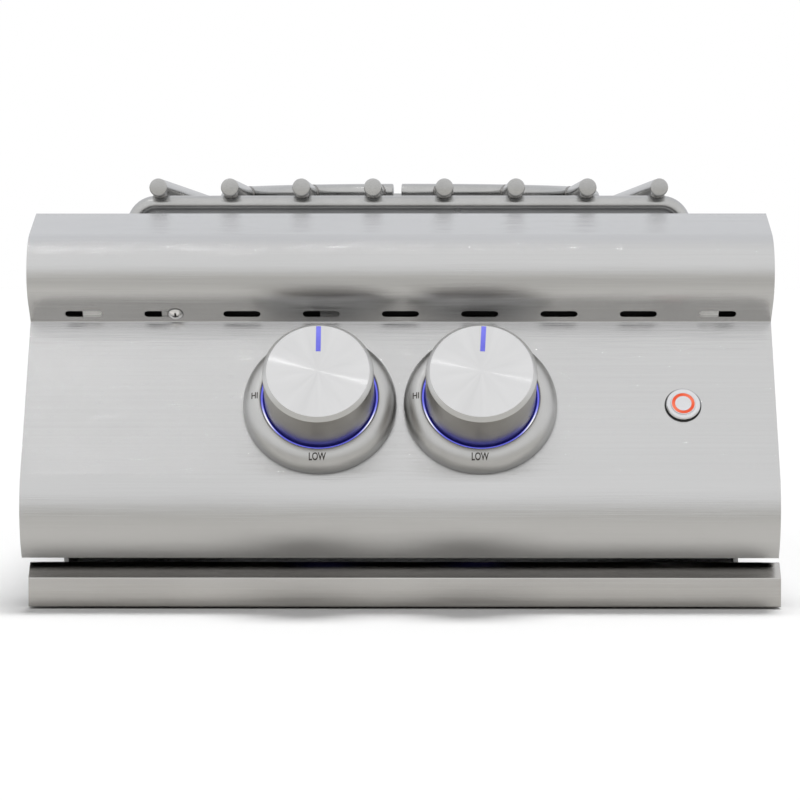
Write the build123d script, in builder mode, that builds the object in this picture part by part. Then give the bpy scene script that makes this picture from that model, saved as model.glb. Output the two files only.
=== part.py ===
from build123d import *
import os
from math import asin, atan2, cos, degrees, hypot, radians, sin, sqrt, tan

os.makedirs("parts", exist_ok=True)

# Built-in gas power burner. X runs to the right, Y to the back and Z up, in millimetres.
# The origin is the centre of the chassis floor's underside.

# Sheet thickness and clearances
sheet = 1.5  # fascia, chassis and brackets
pan_sheet = 1.2  # burner pan and drip tray
seat_gap = 0.05  # round a piece that is fixed in its seat
running_gap = 0.06  # radial, round stems, collars and the button's plunger
slide_gap = 0.3  # between pieces that slide past each other

# Body that drops into the counter cut-out and hangs by its top frame
body_width = 446.0
body_depth = 578.0
body_height = 240.0
fold_width = 15.0  # folded edges that the screws go through
fold_rise = 48.0  # underside of those folds above the floor
frame_side_overhang = 16.0  # top frame past each side
frame_rear_overhang = 21.0  # top frame past the back panel
hem_gap = 3.0  # top frame's folded edge to the body
vent_length = 44.0  # cooling slots in the back panel
vent_height = 7.0
vent_pitch = 56.0
vent_count = 6
vent_rise = 150.0  # lower row above the floor
vent_row_step = 22.0

# Drip tray and its rails
tray_front_height = 27.5
tray_front_lift = 1.0  # underside above the surface the burner stands on
tray_front_depth = 14.0
tray_front_bevel = 9.0  # height and depth of the sloping upper front edge
tray_front_fold = 12.0  # edge folded down behind the top, where the pan is welded
tray_front_ahead = 72.7  # face ahead of the bulkhead
tray_wall_height = 23.5
tray_corner = 8.0
tray_side_play = 7.0  # between pan and rail on each side
tray_back_gap = 85.0  # behind the pan
tray_shift = 2.8  # the tray sits a little to the right in its rails
rail_shelf = 15.0  # lower leg that carries the pan
rail_lip = 9.0  # upper leg that keeps the pan from tipping
rail_clear = 2.0  # between pan rim and upper leg

# Control fascia, a folded sheet with a round nose above and a round roll below
fascia_side_overhang = 17.0  # past each side of the body
fascia_top_slope = 21.0  # degrees, falling to the front
fascia_top_fold = 18.0  # rear edge folded down against the bulkhead
fascia_corner = 2.5  # bend at the top rear edge
nose_radius = 27.2
nose_forward = 26.7  # nose centre ahead of the bulkhead
nose_drop = 26.0  # nose centre below the top of the body
under_band_slope = 46.0  # degrees that the nose turns under
under_band_length = 17.6
crease_radius = 3.0
roll_radius = 48.5
roll_wrap = 39.6  # degrees that the roll turns under
fascia_reach = 94.5  # front of the roll ahead of the bulkhead
fascia_tray_gap = 4.8
bottom_lip = 15.0  # edge folded back under the roll
cheek_fold_gap = 12.0  # cheek's fold below the fascia's own top fold

# Vent slots under the nose, and the screw at one of them
slot_count = 9
slot_pitch = 51.25
slot_length = 24.0
slot_width = 5.5
slot_rise = 7.3  # slot centre above the crease, along the band
screw_slot = 1  # second slot from the left
screw_offset = 8.25  # screw to the right of that slot's centre
bracket_slots = {0: 1, screw_slot: 1, 3: 1, 8: -1}  # slots with a bracket behind their right or left half
truss_head_radius = 5.1
truss_head_height = 2.4
screw_radius = 2.0
screw_recess = 1.1
fascia_screw_length = 9.0
bracket_width = 18.0
bracket_tab = 9.0
bracket_flange = 20.0

# Controls on the slanted panel
control_drop = 61.4  # control axes below the crease, along the panel
bezel_radius = 49.0
bezel_bore = 37.2
bezel_height = 13.0
bezel_edge = 3.0  # upright edge at the foot of the dome
bezel_round = 1.2  # rounded edge of the opening
bezel_screw_radius = 43.0
bezel_screw_depth = 7.0
screw_head_radius = 4.0
screw_head_height = 2.4
light_plate = 4.0
light_rim_width = 1.4
light_rim_height = 11.2
stem_hole_radius = 12.0
knob_radius = 35.0
knob_lift = 9.0  # skirt above the panel
knob_height = 37.0
knob_chamfer = 2.5
knob_wall = 3.5
knob_face = 4.0
knob_hub_radius = 8.0
knob_hub_rise = 5.0  # hub above the skirt's edge
right_knob_turn = -3.0  # the right knob rests a little clockwise
pointer_width = 3.0
pointer_length = 18.0
pointer_depth = 1.5
pointer_edge = 0.4  # pointer to the edge of the face
push_travel = 4.0

# Gas valves behind the panel
stem_radius = 4.0
stem_flat = 3.0  # flat on the stem, from its axis
stem_reach = 29.0  # stem into the knob, from the skirt's edge
bonnet_depth = 8.0  # bonnet plate behind the panel's face
neck_radius = 9.5
neck_length = 13.5
cavity_radius = 7.2
shoulder_radius = 6.0
shoulder_length = 1.4
collar_length = 3.0
valve_radius = 13.0
valve_length = 27.0
stem_tail = 13.0  # stem below the neck
spigot_radius = 8.0
spigot_at = 21.0  # spigot axis below the neck, along the valve
spigot_end = 6.0  # spigot past the bulkhead
stub_at = 17.0  # inlet stub below the neck, along the valve
spring_wire = 0.6
spring_turns = 3.5

# Gas supply
pipe_radius = 10.65
pipe_bore = 8.0
pipe_bend = 24.0
pipe_side_inset = 28.0  # supply pipe from the outside of the right side
manifold_drop = 32.7  # manifold axis below the valve stubs' axis point
manifold_tail = 66.0  # past the left valve
boss_radius = 9.0
boss_height = 14.0
gas_bore = 5.0
orifice_radius = 5.0
orifice_length = 12.0
orifice_hex = 6.5
orifice_hex_length = 4.0
jet_bore = 0.9
inlet_hex = 12.0
inlet_hex_length = 8.0
flare_radius = 7.9
flare_length = 19.0
pipe_end_gap = 8.0  # pipe ends ahead of the back panel
clip_height = 34.0

# Burners and their mixing tubes
pan_side_margin = 23.0  # body side to pan wall
pan_end_margin = 18.0
pan_rim = 8.0
pan_corner = 26.0
pan_drop_gap = 2.0  # round the pan in the top frame
pan_depth_below_frame = 44.0
pan_floor_bend = 5.0
ring_burner_radius = 85.0
ring_burner_width = 34.0
inner_burner_radius = 40.0
burner_wall = 3.0
burner_body_height = 20.0
burner_cap_height = 4.0
burner_cap_overhang = 1.0
burner_drop = 10.0  # burner seat below the pan floor
pan_air_gap = 12.0  # round the ring burner
port_width = 2.6
port_height = 4.0
ring_ports = 40
inner_ports = 20
tube_radius = 13.0
tube_wall = 1.5
tube_bend = 26.0
mouth_radius = 17.0
mouth_length = 14.0
mouth_gap = 2.0  # mouth behind the valve spigot's end
inner_tube_turn = 40.0  # inner tube turns in this far ahead of the burner's axis
strap_width = 50.0
strap_tab = 16.0
igniter_radius = 4.0
igniter_height = 20.0
igniter_wire = 1.0
igniter_wire_height = 5.0

# Push button
switch_inset = 59.4  # from the fascia's right edge
switch_head_radius = 11.0
switch_head_height = 2.0
switch_head_chamfer = 0.7
switch_seal_radius = 11.7
switch_seal_height = 0.8
switch_body_radius = 9.5
switch_body_length = 30.0
switch_nut_flats = 11.5
switch_nut_height = 4.0
plunger_radius = 7.9
plunger_rise = 0.4
plunger_length = 12.0
button_travel = 2.5
button_spring_room = 6.9  # left for the spring when the button is pressed
lens_inner_radius = 5.3
lens_outer_radius = 7.2
lens_depth = 2.0
button_spring_radius = 5.0

# Power jack for the lights, on the back panel
jack_inset = 74.0  # from the outside of the right side
jack_radius = 5.5
jack_flange_radius = 7.5
jack_flange_height = 2.0
jack_length = 14.0
jack_bore = 2.75
jack_bore_depth = 9.5
jack_pin = 1.0

# Cooking grid of round bar
bar_radius = 6.0
bar_count = 8
bar_sink = 0.9  # welds draw the bars into the cross rods
bar_end_round = 0.8
grid_end_gap = 4.8  # bar ends to the pan wall
cross_rod_inset = 15.0
cross_rod_rise = 16.9  # cross rod's axis above the pan rim
leg_side_gap = 15.5  # leg axis to the pan wall, at mid play
leg_bend = 14.0
outer_bar_inset = 16.4  # outer bars in from the legs
grid_ring_radius = 136.0
grid_ring_gap = 6.0
grid_ring_gap_offset = 8.4  # gap to the left of the grid's middle
grid_shift = 5.0  # the grid lies a little to the right

sides = {"left": -1, "right": 1}

# Body planes
side_outer = body_width / 2
side_inner = side_outer - sheet
bulkhead_back = -body_depth / 2
bulkhead_front = bulkhead_back - sheet
back_outer = body_depth / 2
back_inner = back_outer - sheet
frame_top = body_height + sheet

# Tray
tray_face = bulkhead_front - tray_front_ahead
tray_back_of_front = tray_face + tray_front_depth
tray_top = tray_front_lift + tray_front_height
rail_top_of_shelf = 2 * sheet
tray_floor = rail_top_of_shelf + slide_gap
tray_half_width = side_inner - sheet - tray_side_play
rail_top = tray_floor + tray_wall_height + rail_clear + sheet
bulkhead_foot = rail_top + slide_gap

# Fascia in the side view, as (Y, Z). Angles turn from the back towards the top.
fascia_width = body_width + 2 * fascia_side_overhang


def around(center, radius, angle):
    return (center[0] + radius * cos(radians(angle)), center[1] + radius * sin(radians(angle)))


nose = (bulkhead_front - nose_forward, body_height - nose_drop)
nose_top_angle = 90 + fascia_top_slope
nose_end_angle = 180 + under_band_slope
nose_top = around(nose, nose_radius, nose_top_angle)
nose_middle = around(nose, nose_radius, (nose_top_angle + nose_end_angle) / 2)
nose_end = around(nose, nose_radius, nose_end_angle)
top_rise = (bulkhead_front - nose_top[0]) * tan(radians(fascia_top_slope))
top_rear = (bulkhead_front, nose_top[1] + top_rise)
band_back = sin(radians(under_band_slope))
band_down = cos(radians(under_band_slope))
crease = (nose_end[0] + under_band_length * band_back, nose_end[1] - under_band_length * band_down)

roll_end_height = tray_top + fascia_tray_gap
roll = (
    bulkhead_front - fascia_reach + roll_radius,
    roll_end_height + roll_radius * sin(radians(roll_wrap)),
)
crease_back = crease[0] - roll[0]
crease_up = crease[1] - roll[1]
# The flat panel runs from the crease to touch the roll
panel_lean = degrees(atan2(crease_back, crease_up) + asin(roll_radius / hypot(crease_back, crease_up)))
roll_start_angle = 180 - panel_lean
roll_end_angle = 180 + roll_wrap
roll_start = around(roll, roll_radius, roll_start_angle)
roll_middle = around(roll, roll_radius, (roll_start_angle + roll_end_angle) / 2)
roll_end = around(roll, roll_radius, roll_end_angle)

lean_back = sin(radians(panel_lean))
lean_up = cos(radians(panel_lean))
panel_normal = (0, -lean_up, lean_back)
control_point = (crease[0] - control_drop * lean_back, crease[1] - control_drop * lean_up)
band_normal = (0, -band_down, -band_back)
band_point = (crease[0] - slot_rise * band_back, crease[1] + slot_rise * band_down)
band_plane = Plane(origin=(0, *band_point), x_dir=(1, 0, 0), z_dir=band_normal)

knob_places = {side: sign * slot_pitch for side, sign in sides.items()}
knob_turns = {"left": 0, "right": right_knob_turn}
switch_x = fascia_width / 2 - switch_inset


def slot_x(number):
    # X of a vent slot's centre, counted from the left
    return (number - (slot_count - 1) / 2) * slot_pitch


fascia_screw_x = slot_x(screw_slot) + screw_offset


def control_plane(x, turn=0):
    # On the panel's outer face, with y up the panel and z out of it, turned about z by some degrees
    across = cos(radians(turn))
    up = sin(radians(turn))
    return Plane(
        origin=(x, *control_point), x_dir=(across, up * lean_back, up * lean_up), z_dir=panel_normal
    )


def behind_panel(depth):
    # (Y, Z) on a control axis, so far behind the panel's outer face
    return (control_point[0] + depth * lean_up, control_point[1] - depth * lean_back)


def plane_axis(plane):
    return Axis(plane.origin, plane.z_dir)


def slab(x_limits, y_limits, z_limits, mode=Mode.ADD):
    # Block between two limits on each axis
    middle = tuple((low + high) / 2 for low, high in (x_limits, y_limits, z_limits))
    length, width, height = [abs(high - low) for low, high in (x_limits, y_limits, z_limits)]
    with Locations(middle):
        Box(length, width, height, mode=mode)


def turned(plane, radius, low, high, mode=Mode.ADD):
    # Round step about a plane's own axis, between two heights over the plane
    with Locations(plane.offset(low)):
        Cylinder(radius, high - low, align=(Align.CENTER, Align.CENTER, Align.MIN), mode=mode)


def rods_along_y(points, radius, y_from, y_to, mode=Mode.ADD):
    # Round rods or holes along Y at each (x, z)
    with BuildSketch(Plane.XZ.offset(-y_from)) as ends:
        with Locations(*points):
            Circle(radius)
    extrude(ends.sketch, amount=y_from - y_to, mode=mode)


# Valve and tube places that follow from the controls
bonnet_back = bonnet_depth + sheet
neck_end = bonnet_back + neck_length
valve_end = neck_end + valve_length
spigot_point = behind_panel(neck_end + spigot_at)
stub_point = behind_panel(neck_end + stub_at)
spigot_tip = bulkhead_back + spigot_end
manifold_point = (stub_point[0], stub_point[1] - manifold_drop)
boss_top = manifold_point[1] + boss_height
supply_x = side_outer - pipe_side_inset
pipe_tip = back_inner - pipe_end_gap
tube_mouth = spigot_tip + mouth_gap

# Pan, burner and grid levels
pan_half_width = side_outer - pan_side_margin
pan_half_depth = back_outer - pan_end_margin
pan_floor = body_height - pan_depth_below_frame
pan_top = frame_top + pan_sheet
burner_seat = pan_floor - burner_drop
burner_body_top = burner_seat + burner_body_height
ring_burner_outer = ring_burner_radius + ring_burner_width / 2
ring_burner_inner = ring_burner_radius - ring_burner_width / 2
burner_hole_radius = ring_burner_outer + burner_cap_overhang + pan_air_gap
ring_tube_y = -sqrt(ring_burner_radius**2 - slot_pitch**2)
igniter_place = (inner_burner_radius + ring_burner_inner) / 2
cross_rod_height = pan_top + cross_rod_rise
bar_height = cross_rod_height + 2 * bar_radius - bar_sink
bar_reach = pan_half_depth - pan_sheet - grid_end_gap
cross_rod_y = bar_reach - cross_rod_inset
leg_reach = pan_half_width - pan_sheet - leg_side_gap
bar_spacing = 2 * (leg_reach - outer_bar_inset) / (bar_count - 1)

# Screw rows through the folds
screw_heights = [fold_rise + fold_width, body_height / 2, body_height - fold_width]
side_screw_x = side_inner - fold_width / 2
cheek_screw_x = fascia_width / 2 - fold_width / 2
cheek_top = top_rear[1] - fascia_top_fold - cheek_fold_gap
cheek_screw_heights = [roll_end_height + fold_width, cheek_top - fold_width]
side_screws = [(sign * side_screw_x, z) for sign in sides.values() for z in screw_heights]
cheek_screws = [(sign * cheek_screw_x, z) for sign in sides.values() for z in cheek_screw_heights]
screw_hole = screw_radius + seat_gap


# Control fascia
with BuildSketch(Plane.YZ) as fascia_shape:
    with BuildLine():
        Line(top_rear, nose_top)
        ThreePointArc(nose_top, nose_middle, nose_end)
        Line(nose_end, crease)
        Line(crease, roll_start)
        ThreePointArc(roll_start, roll_middle, roll_end)
        Polyline(roll_end, (bulkhead_front, roll_end_height), top_rear)
    make_face()
    fillet(fascia_shape.vertices().sort_by_distance(crease)[0], radius=crease_radius)
    fillet(fascia_shape.vertices().sort_by_distance(top_rear)[0], radius=fascia_corner)

with BuildSketch(Plane.YZ) as fascia_wall:
    add(fascia_shape.sketch_local)
    offset(fascia_shape.sketch_local, amount=-sheet, mode=Mode.SUBTRACT)
    with Locations((bulkhead_front, roll_end_height)):
        Rectangle(
            2 * sheet,
            top_rear[1] - fascia_top_fold - roll_end_height,
            align=(Align.CENTER, Align.MIN),
            mode=Mode.SUBTRACT,
        )
        Rectangle(
            bulkhead_front - roll_end[0] - bottom_lip,
            2 * sheet,
            align=(Align.MAX, Align.CENTER),
            mode=Mode.SUBTRACT,
        )

with BuildPart() as front_fascia:
    extrude(fascia_wall.sketch, amount=fascia_width / 2, both=True)
    with BuildSketch(band_plane):
        with GridLocations(slot_pitch, 0, slot_count, 1):
            SlotOverall(slot_length, slot_width)
    extrude(amount=2 * sheet, both=True, mode=Mode.SUBTRACT)
    for x in knob_places.values():
        with BuildSketch(control_plane(x)):
            Circle(stem_hole_radius)
            with PolarLocations(bezel_screw_radius, 2):
                Circle(screw_hole)
        extrude(amount=2 * sheet, both=True, mode=Mode.SUBTRACT)
    with BuildSketch(control_plane(switch_x)):
        Circle(switch_body_radius + seat_gap)
    extrude(amount=2 * sheet, both=True, mode=Mode.SUBTRACT)
front_fascia.part.label = "front_fascia"
export_step(front_fascia.part, "parts/front_fascia.step")


# End cheeks of the fascia, with a fold that is screwed to the bulkhead
with BuildSketch(Plane.YZ) as cheek_shape:
    offset(fascia_shape.sketch_local, amount=-sheet - seat_gap)

for side, sign in sides.items():
    with BuildPart() as cheek:
        with BuildSketch(Plane.YZ.offset(sign * fascia_width / 2)):
            add(cheek_shape.sketch_local)
        extrude(amount=-sign * sheet)
        slab(
            (sign * fascia_width / 2, sign * (fascia_width / 2 - fold_width)),
            (bulkhead_front - sheet - seat_gap, bulkhead_front),
            (roll_end_height + 2 * sheet, cheek_top),
        )
        rods_along_y(
            [(sign * cheek_screw_x, z) for z in cheek_screw_heights],
            screw_hole,
            bulkhead_front - fold_width,
            bulkhead_front,
            Mode.SUBTRACT,
        )
    cheek.part.label = f"{side}_fascia_cheek"
    export_step(cheek.part, f"parts/{side}_fascia_cheek.step")


# Brackets behind the under-band, from the bulkhead to some of the slots; one takes the screw
bracket_plane = band_plane.offset(-sheet)
bracket_level = (band_plane.offset(-1.5 * sheet)).origin
with BuildPart() as fascia_bracket:
    for slot, half in bracket_slots.items():
        bracket_x = slot_x(slot) + half * screw_offset
        with BuildSketch(bracket_plane):
            with Locations((bracket_x, 0)):
                Rectangle(bracket_width, bracket_tab)
        extrude(amount=-sheet)
        bracket_limits = (bracket_x - bracket_width / 2, bracket_x + bracket_width / 2)
        slab(
            bracket_limits,
            (bracket_level.Y, bulkhead_front),
            (bracket_level.Z, bracket_level.Z + sheet),
        )
        slab(
            bracket_limits,
            (bulkhead_front - sheet, bulkhead_front),
            (bracket_level.Z - bracket_flange, bracket_level.Z + sheet),
        )
    with BuildSketch(bracket_plane):
        with Locations((fascia_screw_x, 0)):
            Circle(screw_hole)
    extrude(amount=-fascia_screw_length, mode=Mode.SUBTRACT)
fascia_bracket.part.label = "fascia_bracket"
export_step(fascia_bracket.part, "parts/fascia_bracket.step")


# Cross-head screw through the end of the second vent slot
screw_plane = Plane(band_plane.location * Location((fascia_screw_x, 0, 0)))
truss_sphere = (truss_head_radius**2 + truss_head_height**2) / (2 * truss_head_height)
with BuildPart() as fascia_screw:
    turned(screw_plane, truss_head_radius, 0, truss_head_height)
    with Locations(screw_plane.offset(truss_head_height - truss_sphere)):
        Sphere(truss_sphere, mode=Mode.INTERSECT)
    turned(screw_plane, screw_radius, -fascia_screw_length, 0)
    with BuildSketch(screw_plane.offset(truss_head_height)):
        Rectangle(truss_head_radius, screw_recess)
        Rectangle(screw_recess, truss_head_radius)
    extrude(amount=-screw_recess, mode=Mode.SUBTRACT)
fascia_screw.part.label = "fascia_screw"
export_step(fascia_screw.part, "parts/fascia_screw.step")


# Bezels, lit rings and knobs, with the valve behind each knob
knob_top = knob_lift + knob_height
stem_top = knob_lift + stem_reach
shoulder_back = bonnet_back + seat_gap + shoulder_length
collar_front = shoulder_back + seat_gap
collar_back = collar_front + collar_length
spring_middle = (cavity_radius + stem_radius) / 2
spring_space = neck_end - collar_back - 2 * (spring_wire + seat_gap)

for side, knob_x in knob_places.items():
    panel = control_plane(knob_x)
    axis = plane_axis(panel)
    knob_plane = control_plane(knob_x, knob_turns[side])

    # Domed bezel, cut away inside for the lit ring
    bezel_section = Plane(origin=panel.origin, x_dir=(1, 0, 0), z_dir=-panel.y_dir)
    bezel_crown = (bezel_bore + bezel_round, bezel_height)
    with BuildPart() as bezel:
        with BuildSketch(bezel_section):
            with BuildLine():
                Line((bezel_bore, 0), (bezel_bore, bezel_height - bezel_round))
                RadiusArc((bezel_bore, bezel_height - bezel_round), bezel_crown, bezel_round)
                TangentArc(bezel_crown, (bezel_radius, bezel_edge), tangent=(1, 0))
                Polyline((bezel_radius, bezel_edge), (bezel_radius, 0), (bezel_bore, 0))
            make_face()
        revolve(axis=axis)
        with BuildSketch(panel):
            with PolarLocations(bezel_screw_radius, 2):
                Circle(screw_hole)
        extrude(amount=bezel_screw_depth, mode=Mode.SUBTRACT)
    bezel.part.label = f"{side}_bezel"
    export_step(bezel.part, f"parts/{side}_bezel.step")

    # Lit ring: a plate on the panel with a rim that stands between bezel and knob
    light_outer = bezel_bore - seat_gap
    with BuildPart() as light_ring:
        turned(panel, light_outer, 0, light_rim_height)
        turned(panel, light_outer - light_rim_width, light_plate, light_rim_height, Mode.SUBTRACT)
        turned(panel, stem_hole_radius, 0, light_plate, Mode.SUBTRACT)
    light_ring.part.label = f"{side}_light_ring"
    export_step(light_ring.part, f"parts/{side}_light_ring.step")

    # Knob, hollow from behind, with a hub that takes the flatted stem
    with BuildPart() as knob:
        turned(knob_plane, knob_radius, knob_lift, knob_top)
        chamfer(knob.edges().filter_by(GeomType.CIRCLE).sort_by(axis)[-1], length=knob_chamfer)
        turned(knob_plane, knob_radius - knob_wall, knob_lift, knob_top - knob_face, Mode.SUBTRACT)
        turned(knob_plane, knob_hub_radius, knob_lift + knob_hub_rise, knob_top - knob_face)
        with BuildSketch(knob_plane.offset(knob_lift)):
            Circle(stem_radius + seat_gap)
            with Locations((0, stem_flat + seat_gap)):
                Rectangle(
                    2 * knob_hub_radius,
                    knob_hub_radius,
                    align=(Align.CENTER, Align.MIN),
                    mode=Mode.SUBTRACT,
                )
        extrude(amount=stem_reach, mode=Mode.SUBTRACT)
        pointer_middle = knob_radius - knob_chamfer - pointer_edge - pointer_length / 2
        with BuildSketch(knob_plane.offset(knob_top)):
            with Locations((0, pointer_middle)):
                Rectangle(pointer_width + 2 * seat_gap, pointer_length + 2 * seat_gap)
        extrude(amount=-pointer_depth, mode=Mode.SUBTRACT)
    knob.part.label = f"{side}_knob"
    export_step(knob.part, f"parts/{side}_knob.step")

    # Pointer line let into the knob's face
    with BuildPart() as pointer:
        with BuildSketch(knob_plane.offset(knob_top - pointer_depth)):
            with Locations((0, pointer_middle)):
                Rectangle(pointer_width, pointer_length)
        extrude(amount=pointer_depth)
    pointer.part.label = f"{side}_pointer"
    export_step(pointer.part, f"parts/{side}_pointer.step")

    # Valve stem with its shoulder, flatted where the knob sits
    with BuildPart() as valve_stem:
        turned(knob_plane, stem_radius, -neck_end - stem_tail, stem_top)
        turned(knob_plane, shoulder_radius, -shoulder_back, -bonnet_back - seat_gap)
        with BuildSketch(knob_plane.offset(knob_lift)):
            with Locations((0, stem_flat)):
                Rectangle(2 * stem_radius, stem_radius, align=(Align.CENTER, Align.MIN))
        extrude(amount=stem_reach, mode=Mode.SUBTRACT)
    valve_stem.part.label = f"{side}_valve_stem"
    export_step(valve_stem.part, f"parts/{side}_valve_stem.step")

    # Thrust collar that the stem's shoulder pushes down the valve's neck
    with BuildPart() as stem_collar:
        turned(panel, cavity_radius - running_gap, -collar_back, -collar_front)
        turned(panel, stem_radius + running_gap, -collar_back, -collar_front, Mode.SUBTRACT)
    stem_collar.part.label = f"{side}_stem_collar"
    export_step(stem_collar.part, f"parts/{side}_stem_collar.step")

    # Return spring between the collar and the bottom of the neck
    with BuildPart() as valve_spring:
        with BuildLine() as coil:
            Helix(
                pitch=spring_space / spring_turns,
                height=spring_space,
                radius=spring_middle,
                center=panel.offset(-neck_end + spring_wire + seat_gap).origin,
                direction=panel.z_dir,
            )
        with BuildSketch(Plane(origin=coil.line @ 0, z_dir=coil.line % 0)):
            Circle(spring_wire)
        sweep(path=coil.line, is_frenet=True)
    valve_spring.part.label = f"{side}_valve_spring"
    export_step(valve_spring.part, f"parts/{side}_valve_spring.step")

    # Bonnet plate that closes the neck over the stem's shoulder
    with BuildPart() as valve_bonnet:
        turned(panel, neck_radius, -bonnet_back, -bonnet_depth)
        turned(panel, stem_radius + running_gap, -bonnet_back, -bonnet_depth, Mode.SUBTRACT)
    valve_bonnet.part.label = f"{side}_valve_bonnet"
    export_step(valve_bonnet.part, f"parts/{side}_valve_bonnet.step")

    # Valve body: neck, barrel, inlet stub to the manifold and spigot through the bulkhead
    spigot_place = [(knob_x, spigot_point[1])]
    with BuildPart() as valve_body:
        turned(panel, neck_radius, -neck_end, -bonnet_back)
        turned(panel, valve_radius, -valve_end, -neck_end)
        rods_along_y(spigot_place, spigot_radius, spigot_point[0], spigot_tip)
        with BuildSketch(Plane.XY.offset(boss_top)):
            with Locations((knob_x, stub_point[0])):
                Circle(spigot_radius)
        extrude(amount=stub_point[1] - boss_top)
        turned(panel, cavity_radius, -neck_end, -bonnet_back, Mode.SUBTRACT)
        stem_bottom = neck_end + stem_tail + push_travel + slide_gap
        turned(panel, stem_radius + running_gap, -stem_bottom, -neck_end, Mode.SUBTRACT)
        rods_along_y(spigot_place, gas_bore, spigot_tip - spigot_end, spigot_tip, Mode.SUBTRACT)
    valve_body.part.label = f"{side}_valve_body"
    export_step(valve_body.part, f"parts/{side}_valve_body.step")

    # Orifice on the spigot's end, blowing into the mixing tube
    orifice_base = spigot_tip + orifice_hex_length
    orifice_tip = spigot_tip + orifice_length
    with BuildPart() as orifice:
        with BuildSketch(Plane.XZ.offset(-spigot_tip)):
            with Locations(*spigot_place):
                RegularPolygon(orifice_hex, 6, major_radius=False)
        extrude(amount=-orifice_hex_length)
        rods_along_y(spigot_place, orifice_radius, orifice_base, orifice_tip)
        rods_along_y(spigot_place, jet_bore, spigot_tip, orifice_tip, Mode.SUBTRACT)
    orifice.part.label = f"{side}_orifice"
    export_step(orifice.part, f"parts/{side}_orifice.step")


# Screws that hold the bezels from behind the panel
with BuildPart() as bezel_screws:
    for knob_x in knob_places.values():
        panel = control_plane(knob_x)
        with BuildSketch(panel.offset(-sheet)):
            with PolarLocations(bezel_screw_radius, 2):
                Circle(screw_head_radius)
        extrude(amount=-screw_head_height)
        with BuildSketch(panel.offset(-sheet)):
            with PolarLocations(bezel_screw_radius, 2):
                Circle(screw_radius)
        extrude(amount=bezel_screw_depth)
bezel_screws.part.label = "bezel_screws"
export_step(bezel_screws.part, "parts/bezel_screws.step")


# Push button on the panel
switch_plane = control_plane(switch_x)
switch_axis = plane_axis(switch_plane)
switch_top = switch_seal_height + switch_head_height
plunger_top = switch_top + plunger_rise
plunger_bottom = plunger_top - plunger_length
well_bottom = plunger_bottom - button_travel - button_spring_room
with BuildPart() as switch_body:
    turned(switch_plane, switch_body_radius, -switch_body_length, switch_seal_height)
    turned(switch_plane, switch_head_radius, switch_seal_height, switch_top)
    head_edges = switch_body.edges().filter_by(GeomType.CIRCLE).sort_by(switch_axis)
    chamfer(head_edges[-1], length=switch_head_chamfer)
    turned(switch_plane, plunger_radius + running_gap, well_bottom, switch_top, Mode.SUBTRACT)
switch_body.part.label = "switch_body"
export_step(switch_body.part, "parts/switch_body.step")

with BuildPart() as switch_seal:
    turned(switch_plane, switch_seal_radius, 0, switch_seal_height)
    turned(switch_plane, switch_body_radius + seat_gap, 0, switch_seal_height, Mode.SUBTRACT)
switch_seal.part.label = "switch_seal"
export_step(switch_seal.part, "parts/switch_seal.step")

with BuildPart() as switch_nut:
    with BuildSketch(switch_plane.offset(-sheet)):
        RegularPolygon(switch_nut_flats, 6, major_radius=False)
        Circle(switch_body_radius + seat_gap, mode=Mode.SUBTRACT)
    extrude(amount=-switch_nut_height)
switch_nut.part.label = "switch_nut"
export_step(switch_nut.part, "parts/switch_nut.step")

with BuildPart() as switch_plunger:
    turned(switch_plane, plunger_radius, plunger_bottom, plunger_top)
    with BuildSketch(switch_plane.offset(plunger_top)):
        Circle(lens_outer_radius + seat_gap)
        Circle(lens_inner_radius - seat_gap, mode=Mode.SUBTRACT)
    extrude(amount=-lens_depth, mode=Mode.SUBTRACT)
switch_plunger.part.label = "switch_plunger"
export_step(switch_plunger.part, "parts/switch_plunger.step")

with BuildPart() as switch_light:
    with BuildSketch(switch_plane.offset(plunger_top - lens_depth)):
        Circle(lens_outer_radius)
        Circle(lens_inner_radius, mode=Mode.SUBTRACT)
    extrude(amount=lens_depth)
switch_light.part.label = "switch_light"
export_step(switch_light.part, "parts/switch_light.step")

with BuildPart() as switch_spring:
    button_spring_space = plunger_bottom - well_bottom - 2 * (spring_wire + seat_gap)
    with BuildLine() as button_coil:
        Helix(
            pitch=button_spring_space / spring_turns,
            height=button_spring_space,
            radius=button_spring_radius,
            center=switch_plane.offset(well_bottom + spring_wire + seat_gap).origin,
            direction=switch_plane.z_dir,
        )
    with BuildSketch(Plane(origin=button_coil.line @ 0, z_dir=button_coil.line % 0)):
        Circle(spring_wire)
    sweep(path=button_coil.line, is_frenet=True)
switch_spring.part.label = "switch_spring"
export_step(switch_spring.part, "parts/switch_spring.step")


# Chassis floor
with BuildPart() as chassis_floor:
    slab((-side_outer, side_outer), (bulkhead_back, back_outer), (0, sheet))
chassis_floor.part.label = "chassis_floor"
export_step(chassis_floor.part, "parts/chassis_floor.step")


# Chassis sides, folded in at the front and the back
for side, sign in sides.items():
    with BuildPart() as chassis_side:
        slab((sign * side_inner, sign * side_outer), (bulkhead_back, back_inner), (sheet, body_height))
        for fold_front in (bulkhead_back, back_inner - sheet):
            slab(
                (sign * (side_inner - fold_width), sign * side_inner),
                (fold_front, fold_front + sheet),
                (fold_rise, body_height),
            )
        fold_screws = [(sign * side_screw_x, z) for z in screw_heights]
        rods_along_y(fold_screws, screw_hole, bulkhead_back, back_inner, Mode.SUBTRACT)
    chassis_side.part.label = f"chassis_{side}_side"
    export_step(chassis_side.part, f"parts/chassis_{side}_side.step")


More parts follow.
